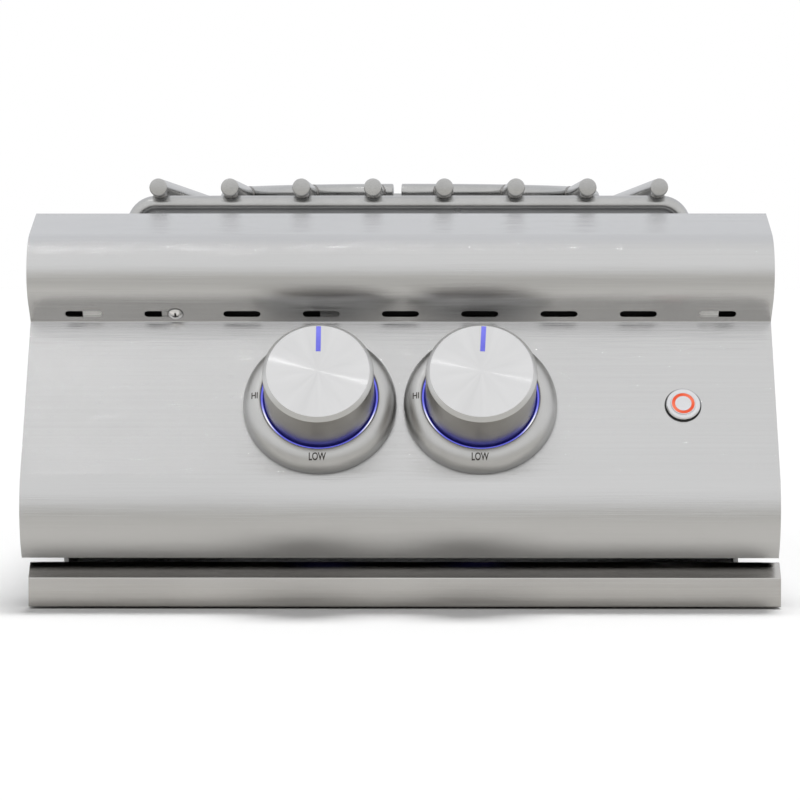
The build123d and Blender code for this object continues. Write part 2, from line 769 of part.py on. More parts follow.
# Back panel with cooling slots and the holes for the gas inlet and the power jack
jack_x = side_outer - jack_inset
inlet_place = [(supply_x, manifold_point[1])]
jack_place = [(jack_x, manifold_point[1])]
with BuildPart() as chassis_back:
    slab((-side_outer, side_outer), (back_inner, back_outer), (sheet, body_height))
    rods_along_y(side_screws, screw_hole, back_inner, back_outer, Mode.SUBTRACT)
    rods_along_y(inlet_place, pipe_radius + seat_gap, back_inner, back_outer, Mode.SUBTRACT)
    rods_along_y(jack_place, jack_radius + seat_gap, back_inner, back_outer, Mode.SUBTRACT)
    with BuildSketch(Plane.XZ.offset(-back_outer)):
        with Locations((0, vent_rise + vent_row_step / 2)):
            with GridLocations(vent_pitch, vent_row_step, vent_count, 2):
                SlotOverall(vent_length, vent_height)
    extrude(amount=sheet, mode=Mode.SUBTRACT)
chassis_back.part.label = "chassis_back"
export_step(chassis_back.part, "parts/chassis_back.step")


# Front bulkhead behind the fascia, open below for the tray
with BuildPart() as front_bulkhead:
    bulkhead_half_width = fascia_width / 2 - sheet
    slab(
        (-bulkhead_half_width, bulkhead_half_width),
        (bulkhead_front, bulkhead_back),
        (bulkhead_foot, body_height),
    )
    rods_along_y(side_screws + cheek_screws, screw_hole, bulkhead_front, bulkhead_back, Mode.SUBTRACT)
    spigot_places = [(x, spigot_point[1]) for x in knob_places.values()]
    rods_along_y(spigot_places, spigot_radius + slide_gap, bulkhead_front, bulkhead_back, Mode.SUBTRACT)
    rods_along_y(inlet_place, pipe_radius + slide_gap, bulkhead_front, bulkhead_back, Mode.SUBTRACT)
front_bulkhead.part.label = "front_bulkhead"
export_step(front_bulkhead.part, "parts/front_bulkhead.step")


# Top frame that hangs on the counter
frame_half_width = side_outer + frame_side_overhang
frame_back = back_outer + frame_rear_overhang
with BuildPart() as top_frame:
    slab((-frame_half_width, frame_half_width), (bulkhead_front, frame_back), (body_height, frame_top))
    # Edge folded back underneath, which rests on the counter
    hem_front = bulkhead_back + hem_gap
    hem_inner = side_outer + hem_gap
    hem_levels = (body_height - sheet, body_height)
    slab((-frame_half_width, frame_half_width), (hem_front, frame_back), hem_levels)
    slab((-hem_inner, hem_inner), (hem_front, back_outer + hem_gap), hem_levels, Mode.SUBTRACT)
    with BuildSketch(Plane.XY.offset(body_height)):
        RectangleRounded(
            2 * (pan_half_width + pan_drop_gap),
            2 * (pan_half_depth + pan_drop_gap),
            pan_corner + pan_drop_gap,
        )
    extrude(amount=sheet, mode=Mode.SUBTRACT)
top_frame.part.label = "top_frame"
export_step(top_frame.part, "parts/top_frame.step")


# Burner pan, hung by its rim in the top frame, with a hole round the burners
with BuildPart() as pan_inside:
    with BuildSketch(Plane.XY.offset(pan_floor + pan_sheet)):
        RectangleRounded(
            2 * (pan_half_width - pan_sheet), 2 * (pan_half_depth - pan_sheet), pan_corner - pan_sheet
        )
    extrude(amount=pan_top - pan_floor - pan_sheet)
    fillet(pan_inside.faces().sort_by(Axis.Z)[0].edges(), radius=pan_floor_bend - pan_sheet)

with BuildPart() as burner_pan:
    with BuildSketch(Plane.XY.offset(pan_floor)):
        RectangleRounded(2 * pan_half_width, 2 * pan_half_depth, pan_corner)
    extrude(amount=pan_top - pan_floor)
    fillet(burner_pan.faces().sort_by(Axis.Z)[0].edges(), radius=pan_floor_bend)
    with BuildSketch(Plane.XY.offset(frame_top)):
        RectangleRounded(
            2 * (pan_half_width + pan_rim),
            2 * (pan_half_depth + pan_rim),
            pan_corner + pan_rim,
        )
    extrude(amount=pan_sheet)
    add(pan_inside.part, mode=Mode.SUBTRACT)
    with BuildSketch(Plane.XY.offset(pan_floor)):
        Circle(burner_hole_radius)
    extrude(amount=pan_sheet, mode=Mode.SUBTRACT)
burner_pan.part.label = "burner_pan"
export_step(burner_pan.part, "parts/burner_pan.step")


# Strap across the body that carries both burners
with BuildPart() as burner_strap:
    slab((-side_inner, side_inner), (-strap_width / 2, strap_width / 2), (burner_seat - sheet, burner_seat))
    for sign in sides.values():
        slab(
            (sign * (side_inner - sheet), sign * side_inner),
            (-strap_width / 2, strap_width / 2),
            (burner_seat - strap_tab, burner_seat),
        )
    with BuildSketch(Plane.XY.offset(burner_seat)):
        Circle(tube_radius + slide_gap)
    extrude(amount=-sheet, mode=Mode.SUBTRACT)
burner_strap.part.label = "burner_strap"
export_step(burner_strap.part, "parts/burner_strap.step")


# Ring burner: an open channel with flame ports in its upper edges, and its cap
port_level = burner_body_top - port_height / 2
with BuildPart() as outer_burner:
    with BuildSketch(Plane.XY.offset(burner_seat)):
        Circle(ring_burner_outer)
        Circle(ring_burner_inner, mode=Mode.SUBTRACT)
    extrude(amount=burner_body_height)
    with BuildSketch(Plane.XY.offset(burner_seat + burner_wall)):
        Circle(ring_burner_outer - burner_wall)
        Circle(ring_burner_inner + burner_wall, mode=Mode.SUBTRACT)
    extrude(amount=burner_body_height, mode=Mode.SUBTRACT)
    with Locations((0, 0, port_level)):
        with PolarLocations(ring_burner_radius, ring_ports):
            Box(ring_burner_width + 2 * burner_wall, port_width, port_height, mode=Mode.SUBTRACT)
    with BuildSketch(Plane.XY.offset(burner_seat)):
        with Locations((knob_places["left"], ring_tube_y)):
            Circle(tube_radius - tube_wall)
    extrude(amount=burner_wall, mode=Mode.SUBTRACT)
outer_burner.part.label = "outer_burner"
export_step(outer_burner.part, "parts/outer_burner.step")

with BuildPart() as outer_burner_cap:
    with BuildSketch(Plane.XY.offset(burner_body_top)):
        Circle(ring_burner_outer + burner_cap_overhang)
        Circle(ring_burner_inner - burner_cap_overhang, mode=Mode.SUBTRACT)
    extrude(amount=burner_cap_height)
    chamfer(outer_burner_cap.faces().sort_by(Axis.Z)[-1].edges(), length=burner_cap_height / 2)
outer_burner_cap.part.label = "outer_burner_cap"
export_step(outer_burner_cap.part, "parts/outer_burner_cap.step")


# Inner burner: a cup with ports in its upper edge, and its cap
with BuildPart() as inner_burner:
    with BuildSketch(Plane.XY.offset(burner_seat)):
        Circle(inner_burner_radius)
    extrude(amount=burner_body_height)
    with BuildSketch(Plane.XY.offset(burner_seat + burner_wall)):
        Circle(inner_burner_radius - burner_wall)
    extrude(amount=burner_body_height, mode=Mode.SUBTRACT)
    with Locations((0, 0, port_level)):
        with PolarLocations(inner_burner_radius, inner_ports):
            Box(4 * burner_wall, port_width, port_height, mode=Mode.SUBTRACT)
    with BuildSketch(Plane.XY.offset(burner_seat)):
        Circle(tube_radius - tube_wall)
    extrude(amount=burner_wall, mode=Mode.SUBTRACT)
inner_burner.part.label = "inner_burner"
export_step(inner_burner.part, "parts/inner_burner.step")

with BuildPart() as inner_burner_cap:
    with BuildSketch(Plane.XY.offset(burner_body_top)):
        Circle(inner_burner_radius + burner_cap_overhang)
    extrude(amount=burner_cap_height)
    chamfer(inner_burner_cap.faces().sort_by(Axis.Z)[-1].edges(), length=burner_cap_height / 2)
inner_burner_cap.part.label = "inner_burner_cap"
export_step(inner_burner_cap.part, "parts/inner_burner_cap.step")


# Mixing tubes from the orifices to the burners, with a flared mouth
tube_level = spigot_point[1]
tube_routes = {
    "outer": [
        (knob_places["left"], tube_mouth, tube_level),
        (knob_places["left"], ring_tube_y, tube_level),
        (knob_places["left"], ring_tube_y, burner_seat),
    ],
    "inner": [
        (knob_places["right"], tube_mouth, tube_level),
        (knob_places["right"], -inner_tube_turn, tube_level),
        (0, 0, tube_level),
        (0, 0, burner_seat),
    ],
}
for burner, route in tube_routes.items():
    mouth_plane = Plane(origin=route[0], x_dir=(1, 0, 0), z_dir=(0, 1, 0))
    with BuildPart() as mixing_tube:
        with BuildLine() as tube_path:
            FilletPolyline(*route, radius=tube_bend)
        with BuildSketch(mouth_plane):
            Circle(tube_radius)
        sweep(path=tube_path.line)
        with Locations(mouth_plane):
            Cone(mouth_radius, tube_radius, mouth_length, align=(Align.CENTER, Align.CENTER, Align.MIN))
        with BuildSketch(mouth_plane):
            Circle(tube_radius - tube_wall)
        sweep(path=tube_path.line, mode=Mode.SUBTRACT)
        with Locations(mouth_plane):
            Cone(
                mouth_radius - tube_wall,
                tube_radius - tube_wall,
                mouth_length,
                align=(Align.CENTER, Align.CENTER, Align.MIN),
                mode=Mode.SUBTRACT,
            )
    mixing_tube.part.label = f"{burner}_mixing_tube"
    export_step(mixing_tube.part, f"parts/{burner}_mixing_tube.step")


# Igniter electrodes between the burners, standing on the strap
with BuildPart() as igniter_electrodes:
    with BuildSketch(Plane.XY.offset(burner_seat)):
        with Locations((-igniter_place, 0), (igniter_place, 0)):
            Circle(igniter_radius)
    extrude(amount=igniter_height)
    with BuildSketch(Plane.XY.offset(burner_seat + igniter_height)):
        with Locations((-igniter_place, 0), (igniter_place, 0)):
            Circle(igniter_wire)
    extrude(amount=igniter_wire_height)
igniter_electrodes.part.label = "igniter_electrodes"
export_step(igniter_electrodes.part, "parts/igniter_electrodes.step")


# Gas manifold along the bulkhead, bent back to the inlet, with a boss under each valve
manifold_start = knob_places["left"] - manifold_tail
with BuildPart() as gas_manifold:
    with BuildLine() as pipe_path:
        FilletPolyline(
            (manifold_start, *manifold_point),
            (supply_x, *manifold_point),
            (supply_x, pipe_tip, manifold_point[1]),
            radius=pipe_bend,
        )
    pipe_start = Plane(origin=(manifold_start, *manifold_point), x_dir=(0, 1, 0), z_dir=(1, 0, 0))
    with BuildSketch(pipe_start):
        Circle(pipe_radius)
    sweep(path=pipe_path.line)
    with BuildSketch(Plane.XY.offset(manifold_point[1])):
        with Locations(*[(x, manifold_point[0]) for x in knob_places.values()]):
            Circle(boss_radius)
    extrude(amount=boss_height)
    with BuildSketch(pipe_start):
        Circle(pipe_bore)
    sweep(path=pipe_path.line, mode=Mode.SUBTRACT)
    with BuildSketch(Plane.XY.offset(manifold_point[1])):
        with Locations(*[(x, manifold_point[0]) for x in knob_places.values()]):
            Circle(gas_bore)
    extrude(amount=boss_height, mode=Mode.SUBTRACT)
    turned(pipe_start, pipe_radius, -sheet, 0)
gas_manifold.part.label = "gas_manifold"
export_step(gas_manifold.part, "parts/gas_manifold.step")


# Clip on the bulkhead that the manifold's closed end passes through
with BuildPart() as manifold_clip:
    clip_left = manifold_start + fold_width
    slab(
        (clip_left, clip_left + sheet),
        (manifold_point[0] - clip_height / 2, bulkhead_front),
        (manifold_point[1] - clip_height / 2, manifold_point[1] + clip_height / 2),
    )
    slab(
        (clip_left, clip_left + fold_width),
        (bulkhead_front - sheet, bulkhead_front),
        (manifold_point[1] - clip_height / 2, manifold_point[1] + clip_height / 2),
    )
    clip_plane = Plane(origin=(clip_left, *manifold_point), x_dir=(0, 1, 0), z_dir=(1, 0, 0))
    turned(clip_plane, pipe_radius + seat_gap, 0, sheet, Mode.SUBTRACT)
manifold_clip.part.label = "manifold_clip"
export_step(manifold_clip.part, "parts/manifold_clip.step")


# Gas inlet: a flare fitting whose hexagon seats on the back panel
flare_base = back_outer + inlet_hex_length
with BuildPart() as gas_inlet:
    rods_along_y(inlet_place, pipe_radius, pipe_tip, back_outer)
    with BuildSketch(Plane.XZ.offset(-back_outer)):
        with Locations(*inlet_place):
            RegularPolygon(inlet_hex, 6, major_radius=False)
    extrude(amount=-inlet_hex_length)
    rods_along_y(inlet_place, flare_radius, flare_base, flare_base + flare_length)
    rods_along_y(inlet_place, gas_bore, pipe_tip, flare_base + flare_length, Mode.SUBTRACT)
gas_inlet.part.label = "gas_inlet"
export_step(gas_inlet.part, "parts/gas_inlet.step")


# Power jack for the lights
jack_outer = back_outer + jack_flange_height
with BuildPart() as power_jack:
    rods_along_y(jack_place, jack_flange_radius, back_outer, jack_outer)
    rods_along_y(jack_place, jack_radius, back_outer - jack_length, back_outer)
    rods_along_y(jack_place, jack_bore, jack_outer - jack_bore_depth, jack_outer, Mode.SUBTRACT)
    rods_along_y(jack_place, jack_pin, jack_outer - jack_bore_depth, jack_outer)
power_jack.part.label = "power_jack"
export_step(power_jack.part, "parts/power_jack.step")


# Screws through the folds: back panel and bulkhead to the sides, bulkhead to the cheeks
screw_length = 4 * sheet
screw_rows = [
    (side_screws, back_outer, 1),
    (side_screws, bulkhead_front, -1),
    (cheek_screws, bulkhead_back, 1),
]
with BuildPart() as chassis_screws:
    for places, seat, outward in screw_rows:
        rods_along_y(places, screw_head_radius, seat, seat + outward * screw_head_height)
        rods_along_y(places, screw_radius, seat, seat - outward * screw_length)
chassis_screws.part.label = "chassis_screws"
export_step(chassis_screws.part, "parts/chassis_screws.step")


# Rails for the drip tray, channels along both sides
for side, sign in sides.items():
    rail_y = (bulkhead_back, back_inner - fold_width)
    with BuildPart() as tray_rail:
        slab((sign * side_inner, sign * (side_inner - sheet)), rail_y, (sheet, rail_top))
        slab((sign * side_inner, sign * (side_inner - rail_shelf)), rail_y, (sheet, rail_top_of_shelf))
        slab((sign * side_inner, sign * (side_inner - rail_lip)), rail_y, (rail_top - sheet, rail_top))
    tray_rail.part.label = f"{side}_tray_rail"
    export_step(tray_rail.part, f"parts/{side}_tray_rail.step")


# Drip tray: a pan that slides on the rails, behind a hollow front bar
tray_plane = Plane.YZ.offset(tray_shift)
with BuildPart() as drip_tray_pan:
    tray_length = back_inner - tray_back_gap - tray_back_of_front
    tray_middle = tray_back_of_front + tray_length / 2
    with BuildSketch(Plane.XY.offset(tray_floor)):
        with Locations((tray_shift, tray_middle)):
            RectangleRounded(2 * tray_half_width, tray_length, tray_corner)
    extrude(amount=tray_wall_height)
    with BuildSketch(Plane.XY.offset(tray_floor + pan_sheet)):
        with Locations((tray_shift, tray_middle)):
            RectangleRounded(
                2 * (tray_half_width - pan_sheet), tray_length - 2 * pan_sheet, tray_corner - pan_sheet
            )
    extrude(amount=tray_wall_height, mode=Mode.SUBTRACT)
drip_tray_pan.part.label = "drip_tray_pan"
export_step(drip_tray_pan.part, "parts/drip_tray_pan.step")

with BuildSketch(tray_plane) as tray_front_shape:
    with BuildLine():
        Polyline(
            (tray_face, tray_front_lift),
            (tray_face, tray_top - tray_front_bevel),
            (tray_face + tray_front_bevel, tray_top),
            (tray_back_of_front, tray_top),
            (tray_back_of_front, tray_front_lift),
            close=True,
        )
    make_face()

with BuildSketch(tray_plane) as tray_front_hollow:
    offset(tray_front_shape.sketch_local, amount=-sheet)
    with Locations((tray_back_of_front, tray_front_lift + sheet)):
        Rectangle(
            tray_front_depth / 2,
            tray_front_height - sheet - tray_front_fold,
            align=(Align.MAX, Align.MIN),
        )

with BuildPart() as drip_tray_front:
    extrude(tray_front_shape.sketch, amount=fascia_width / 2, both=True)
    extrude(tray_front_hollow.sketch, amount=fascia_width / 2 - sheet, both=True, mode=Mode.SUBTRACT)
drip_tray_front.part.label = "drip_tray_front"
export_step(drip_tray_front.part, "parts/drip_tray_front.step")


# Cooking grid: cross rods with bent-down legs that stand in the pan
for place, end in {"front": -1, "rear": 1}.items():
    frame_plane = Plane(origin=(grid_shift, end * cross_rod_y, 0), x_dir=(1, 0, 0), z_dir=(0, -1, 0))
    leg_foot = pan_floor + pan_sheet
    with BuildPart() as grid_frame:
        with BuildLine(frame_plane) as frame_path:
            FilletPolyline(
                (-leg_reach, leg_foot),
                (-leg_reach, cross_rod_height),
                (leg_reach, cross_rod_height),
                (leg_reach, leg_foot),
                radius=leg_bend,
            )
        with BuildSketch(Plane(origin=frame_path.line @ 0, x_dir=(1, 0, 0), z_dir=(0, 0, 1))):
            Circle(bar_radius)
        sweep(path=frame_path.line)
    grid_frame.part.label = f"grid_{place}_frame"
    export_step(grid_frame.part, f"parts/grid_{place}_frame.step")


# Bars along the grid, cut away inside the ring that the wok sits in
with BuildPart() as grid_bars:
    with BuildSketch(Plane.XZ):
        with Locations((grid_shift, bar_height)):
            with GridLocations(bar_spacing, 0, bar_count, 1):
                Circle(bar_radius)
    extrude(amount=bar_reach, both=True)
    bar_ends = grid_bars.edges().filter_by(GeomType.CIRCLE).group_by(Axis.Y)
    fillet(bar_ends[0] + bar_ends[-1], radius=bar_end_round)
    with BuildSketch(Plane.XY.offset(bar_height - bar_radius)):
        with Locations((grid_shift, 0)):
            Circle(grid_ring_radius)
    extrude(amount=2 * bar_radius, mode=Mode.SUBTRACT)
grid_bars.part.label = "grid_bars"
export_step(grid_bars.part, "parts/grid_bars.step")


# Ring of the grid, split by a small gap at the front
gap_half_turn = asin(grid_ring_gap / 2 / grid_ring_radius)
ring_start_turn = radians(-90) - asin(grid_ring_gap_offset / grid_ring_radius) + gap_half_turn
ring_start = Plane(
    origin=(grid_shift, 0, bar_height),
    x_dir=(cos(ring_start_turn), sin(ring_start_turn), 0),
    z_dir=(sin(ring_start_turn), -cos(ring_start_turn), 0),
)
ring_axis = Axis((grid_shift, 0, 0), (0, 0, 1))
with BuildPart() as grid_ring:
    with BuildSketch(ring_start):
        with Locations((grid_ring_radius, 0)):
            Circle(bar_radius)
    revolve(axis=ring_axis, revolution_arc=360 - degrees(2 * gap_half_turn))
grid_ring.part.label = "grid_ring"
export_step(grid_ring.part, "parts/grid_ring.step")
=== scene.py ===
from math import atan2, asin, cos, degrees, hypot, pi, radians, sin, tan

import bmesh
import bpy
import numpy as np
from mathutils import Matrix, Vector


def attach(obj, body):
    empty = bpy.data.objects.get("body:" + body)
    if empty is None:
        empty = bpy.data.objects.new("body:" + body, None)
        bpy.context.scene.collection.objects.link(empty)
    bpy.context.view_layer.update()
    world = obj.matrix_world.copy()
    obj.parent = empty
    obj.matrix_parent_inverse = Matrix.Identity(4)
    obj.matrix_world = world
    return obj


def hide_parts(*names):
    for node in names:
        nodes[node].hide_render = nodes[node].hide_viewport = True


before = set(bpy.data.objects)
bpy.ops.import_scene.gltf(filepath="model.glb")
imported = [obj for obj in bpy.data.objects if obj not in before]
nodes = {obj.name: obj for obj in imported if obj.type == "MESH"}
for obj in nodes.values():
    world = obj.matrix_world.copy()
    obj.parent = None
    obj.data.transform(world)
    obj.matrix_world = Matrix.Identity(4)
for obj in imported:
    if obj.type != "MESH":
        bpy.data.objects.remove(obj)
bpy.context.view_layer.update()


class Sizes(dict):
    # a piece's dictionary, whose entries also read as attributes
    __getattr__ = dict.__getitem__


# Shader maths

def bothWays(operation):
    # an operator between a value and anything else, and its reflected form
    return (lambda self, other: self.math(operation, self, other),
            lambda self, other: self.math(operation, other, self))


class Value:
    # a socket in a tree: arithmetic on it adds Math nodes
    def __init__(self, tree, socket):
        self.tree, self.socket = tree, socket

    def math(self, operation, *values):
        return self.tree.node("ShaderNodeMath", {"operation": operation}, dict(enumerate(values)))

    def __abs__(self):
        return self.math("ABSOLUTE", self)

    __add__, __radd__ = bothWays("ADD")
    __sub__, __rsub__ = bothWays("SUBTRACT")
    __mul__, __rmul__ = bothWays("MULTIPLY")
    __truediv__, __rtruediv__ = bothWays("DIVIDE")
    __pow__, __rpow__ = bothWays("POWER")


class Tree:
    # a node tree, the one way of adding nodes to it, and the kinds that are added often
    def __init__(self, tree):
        self.tree = tree

    def node(self, kind, settings=None, sockets=None, out=0):
        made = self.tree.nodes.new(kind)
        for key, value in (settings or {}).items():
            if key == "stops":
                elements = made.color_ramp.elements
                while len(elements) < len(value):
                    elements.new(0.5)
                for element, (place, shade) in zip(elements, value):
                    element.position, element.color = place, (*shade, 1.0)
            else:
                setattr(made, key, value)
        for key, value in (sockets or {}).items():
            self.join(made.inputs[key], value)
        return Value(self, made.outputs[out])

    def join(self, socket, value):
        if isinstance(value, Value):
            self.tree.links.new(value.socket, socket)
        else:
            socket.default_value = value

    def place(self, out="Object"):
        return self.node("ShaderNodeTexCoord", out=out)

    def moved(self, vector, kind="POINT", **sockets):
        return self.node("ShaderNodeMapping", {"vector_type": kind}, {"Vector": vector, **sockets})

    def parts(self, vector):
        split = self.node("ShaderNodeSeparateXYZ", sockets={"Vector": vector})
        return [Value(self, socket) for socket in split.socket.node.outputs]

    def vector(self, *parts):
        return self.node("ShaderNodeCombineXYZ", sockets=dict(enumerate(parts)))

    def noise(self, vector, scale=1.0, detail=2.0, roughness=0.5):
        return self.node("ShaderNodeTexNoise", sockets={
            "Vector": vector, "Scale": scale, "Detail": detail, "Roughness": roughness})

    def span(self, value, fromLow, fromHigh, toLow=0.0, toHigh=1.0):
        # a value carried from one range to another, held at the ends
        return self.node("ShaderNodeMapRange", {"clamp": True}, {
            "Value": value, "From Min": fromLow, "From Max": fromHigh, "To Min": toLow, "To Max": toHigh})

    def spread(self, noise, low=0.0, high=1.0, edge=0.3):
        # the middle of a noise's range carried to low and high
        return self.span(noise, edge, 1 - edge, low, high)

    def tint(self, factor, low, high):
        # colour between two colours
        low, high = (end if isinstance(end, Value) else (*end, 1.0) for end in (low, high))
        return self.node("ShaderNodeMix", {"data_type": "RGBA"}, {0: factor, 6: low, 7: high}, out=2)

    def shades(self, noise, dark, light, edge=0.3):
        # colour between two colours, as a noise goes
        return self.tint(self.spread(noise, edge=edge), dark, light)

    def bump(self, height, strength, distance):
        return self.node("ShaderNodeBump", sockets={
            "Height": height, "Strength": strength, "Distance": distance})


class Finish(Tree):
    # one material: its Principled shader and the nodes that feed it
    def __init__(self, name, **constants):
        self.material = bpy.data.materials.new(name)
        self.material.use_nodes = True
        super().__init__(self.material.node_tree)
        self.shader = self.tree.nodes["Principled BSDF"]
        self.feed(**constants)

    def feed(self, **sockets):
        for key, value in sockets.items():
            self.join(self.shader.inputs[key.replace("_", " ")], value)
        return self.material


# Meshes

mergeReach, samePoint = 1e-7, 1e-9
cornerSigns = np.array(((1, 1), (-1, 1), (-1, -1), (1, -1)))


def joined(*coordinates):
    # points from their coordinates, each an array or one number for all of them
    return np.stack(np.broadcast_arrays(*coordinates), -1)


def onceRound(count):
    # angles at equal steps once round
    return np.linspace(0, 2 * pi, count, endpoint=False)


def unit(vectors):
    # each vector over its own length
    return vectors / np.linalg.norm(vectors, axis=-1, keepdims=True)


def runAlong(path):
    # distance along a path to each of its points: running sum of the steps
    return np.append(0.0, np.cumsum(np.hypot(*np.diff(path, axis=0).T)))


def gridQuads(rows, columns, closeRows=False, closeColumns=False):
    # corners of every cell of a grid of points, wrapped round where it is closed
    here = np.arange(rows * columns).reshape(rows, columns)
    beside = np.roll(here, -1, 1)
    quads = np.stack([here, beside, np.roll(beside, -1, 0), np.roll(here, -1, 0)], -1)
    return quads[:None if closeRows else -1, :None if closeColumns else -1].reshape(-1, 4)


def tubeFaces(rows, sides, offset=0, closed=False):
    # quads round every row of a tube, and a face on each end unless the tube closes on itself
    faces = (gridQuads(rows, sides, closed, True) + offset).tolist()
    ends = [] if closed else [0, (rows - 1) * sides]
    return faces + [list(range(offset + end, offset + end + sides)) for end in ends]


def sheetFaces(faces, count):
    # faces of a sheet's outer side, the same turned over on its inner side, and walls between
    # the two along every edge that only one face uses
    edges = np.stack([faces, np.roll(faces, -1, 1)], -1).reshape(-1, 2)
    _, first, uses = np.unique(np.sort(edges, 1), axis=0, return_index=True, return_counts=True)
    rim = edges[first[uses == 1]]
    walls = np.concatenate([rim, rim[:, ::-1] + count], 1)
    return [*faces.tolist(), *(faces[:, ::-1] + count).tolist(), *walls.tolist()]


def placed(name, data):
    # a new object in the scene
    thing = bpy.data.objects.new(name, data)
    bpy.context.scene.collection.objects.link(thing)
    return thing


def makePiece(name, points, faces, finish, body, slot, replaced=(), sharp=38.0, shade=None):
    # closed shell from arrays, with outward faces, smooth up to the sharp angle
    mesh = bpy.data.meshes.new(name)
    mesh.from_pydata(points.reshape(-1, 3).tolist(), [], faces)
    if shade is not None:
        mesh.attributes.new("shade", "FLOAT", "POINT").data.foreach_set("value", shade.ravel())
    shell = bmesh.new()
    shell.from_mesh(mesh)
    bmesh.ops.remove_doubles(shell, verts=shell.verts, dist=mergeReach)
    bmesh.ops.recalc_face_normals(shell, faces=shell.faces)
    shell.to_mesh(mesh)
    shell.free()
    mesh.shade_smooth()
    mesh.set_sharp_from_angle(angle=radians(sharp))
    mesh.materials.append(finishes[finish])
    piece = placed(name, mesh)
    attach(piece, body)
    if replaced:
        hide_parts(*replaced)


def bentPath(corners, bends, steps=8):
    # straight runs between the corners, with an arc of the given radius at each inner one:
    # arc(a) = centre + spoke turned by a; a radius of nought leaves the corner itself
    corners = np.array(corners, float)
    rows = [corners[:1]]
    for before, corner, after, bend in zip(corners, corners[1:], corners[2:], bends):
        into, out = unit(corner - before), unit(after - corner)
        turn = atan2(into[0] * out[1] - into[1] * out[0], into @ out)
        side = np.array((-into[1], into[0])) * np.sign(turn)
        centre = corner - into * bend * tan(abs(turn) / 2) + side * bend
        spoke = -side * bend
        angle = np.linspace(0, turn, steps + 1)[:, None]
        rows.append(centre + np.cos(angle) * spoke + np.sin(angle) * np.array((-spoke[1], spoke[0])))
    rows = np.concatenate([*rows, corners[-1:]])
    return rows[np.append(True, np.diff(runAlong(rows)) > samePoint)]


# Control fascia: a folded sheet whose side view is a path of straight runs and bends

fascia = Sizes(
    width=0.480, sheet=0.0015, back=-0.2905, bodyTop=0.240, topSlope=21.0, topFold=0.018, topBend=0.0012,
    noseRadius=0.0272, noseForward=0.0267, noseDrop=0.026,
    bandSlope=46.0, bandLength=0.0176, creaseBend=0.0004,
    rollRadius=0.0485, rollWrap=39.6, rollReach=0.0945, rollFoot=0.0333, lip=0.015,
    slots=9, pitch=0.05125, slotLength=0.024, slotWidth=0.0055, slotRise=0.0073,
    controlDrop=0.0614, screwReach=0.043, switchX=0.1806,
    # round holes: radius, half width of the cell that is cut out round each, lines across it
    holes={"stem": (0.012, 0.016, 11), "screw": (0.00205, 0.004, 5), "switch": (0.00955, 0.014, 11)},
    slotEnd=0.003, slotCell=0.0045, slotLines=21, controlCell=0.016, upLines=11,
    ringShares=(0.0, 0.12, 0.35, 1.0), lineGap=2e-6, lineDigits=7, pointDigits=8, bendSteps=26, sharp=33.0,
)


def fasciaCorners(f):
    # (y, z) corners of the folded sheet, from the rear top fold round to the bottom lip
    slope, under, wrap = (radians(f[key]) for key in ("topSlope", "bandSlope", "rollWrap"))
    downBand, downRoll = (np.array((sin(angle), -cos(angle))) for angle in (under, wrap))
    nose = np.array((f.back - f.noseForward, f.bodyTop - f.noseDrop))
    noseTop = nose + f.noseRadius * np.array((-sin(slope), cos(slope)))
    topRear = np.array((f.back, noseTop[1] + (f.back - noseTop[0]) * tan(slope)))
    noseEnd = nose - f.noseRadius * np.array((cos(under), sin(under)))
    crease = noseEnd + f.bandLength * downBand
    roll = np.array((f.back - f.rollReach + f.rollRadius, f.rollFoot + f.rollRadius * sin(wrap)))
    toCrease = crease - roll
    lean = atan2(*toCrease) + asin(f.rollRadius / hypot(*toCrease))
    rollEnd = roll - f.rollRadius * np.array((cos(wrap), sin(wrap)))
    # where the flat runs on each side of the nose and of the roll would meet
    noseCorner = noseEnd - downBand * f.noseRadius * tan((pi / 2 - slope + under) / 2)
    rollCorner = rollEnd - downRoll * f.rollRadius * tan((lean + wrap) / 2)
    corners = [(f.back, topRear[1] - f.topFold), topRear, noseCorner, crease, rollCorner, rollEnd,
               (rollEnd[0] + f.lip, f.rollFoot)]
    bends = [f.topBend, f.noseRadius, f.creaseBend, f.rollRadius, 0]
    return corners, bends, crease, lean


foldCorners, foldBends, crease, lean = fasciaCorners(fascia)
across = np.array((1.0, 0.0, 0.0))
upright = np.array((0.0, 0.0, 1.0))
upPanel = np.array((0.0, sin(lean), cos(lean)))
outward = np.array((0.0, -cos(lean), sin(lean)))
panelTilt = atan2(cos(lean), sin(lean))
controlPoint = np.array((0.0, *crease)) - fascia.controlDrop * upPanel
bandAngle = radians(fascia.bandSlope)
upBand = np.array((0.0, -sin(bandAngle), cos(bandAngle)))
outBand = np.array((0.0, -cos(bandAngle), -sin(bandAngle)))
slotMiddle = crease + fascia.slotRise * upBand[1:]
print("fascia: panel leans", round(degrees(lean), 2), "degrees")


def onPanel(x, places, heights, sideways=across, upward=upPanel):
    # point = the control's origin + u sideways + v upward + height outward
    origin = controlPoint + across * x
    return origin + places[..., :1] * sideways + places[..., 1:] * upward + heights[..., None] * outward


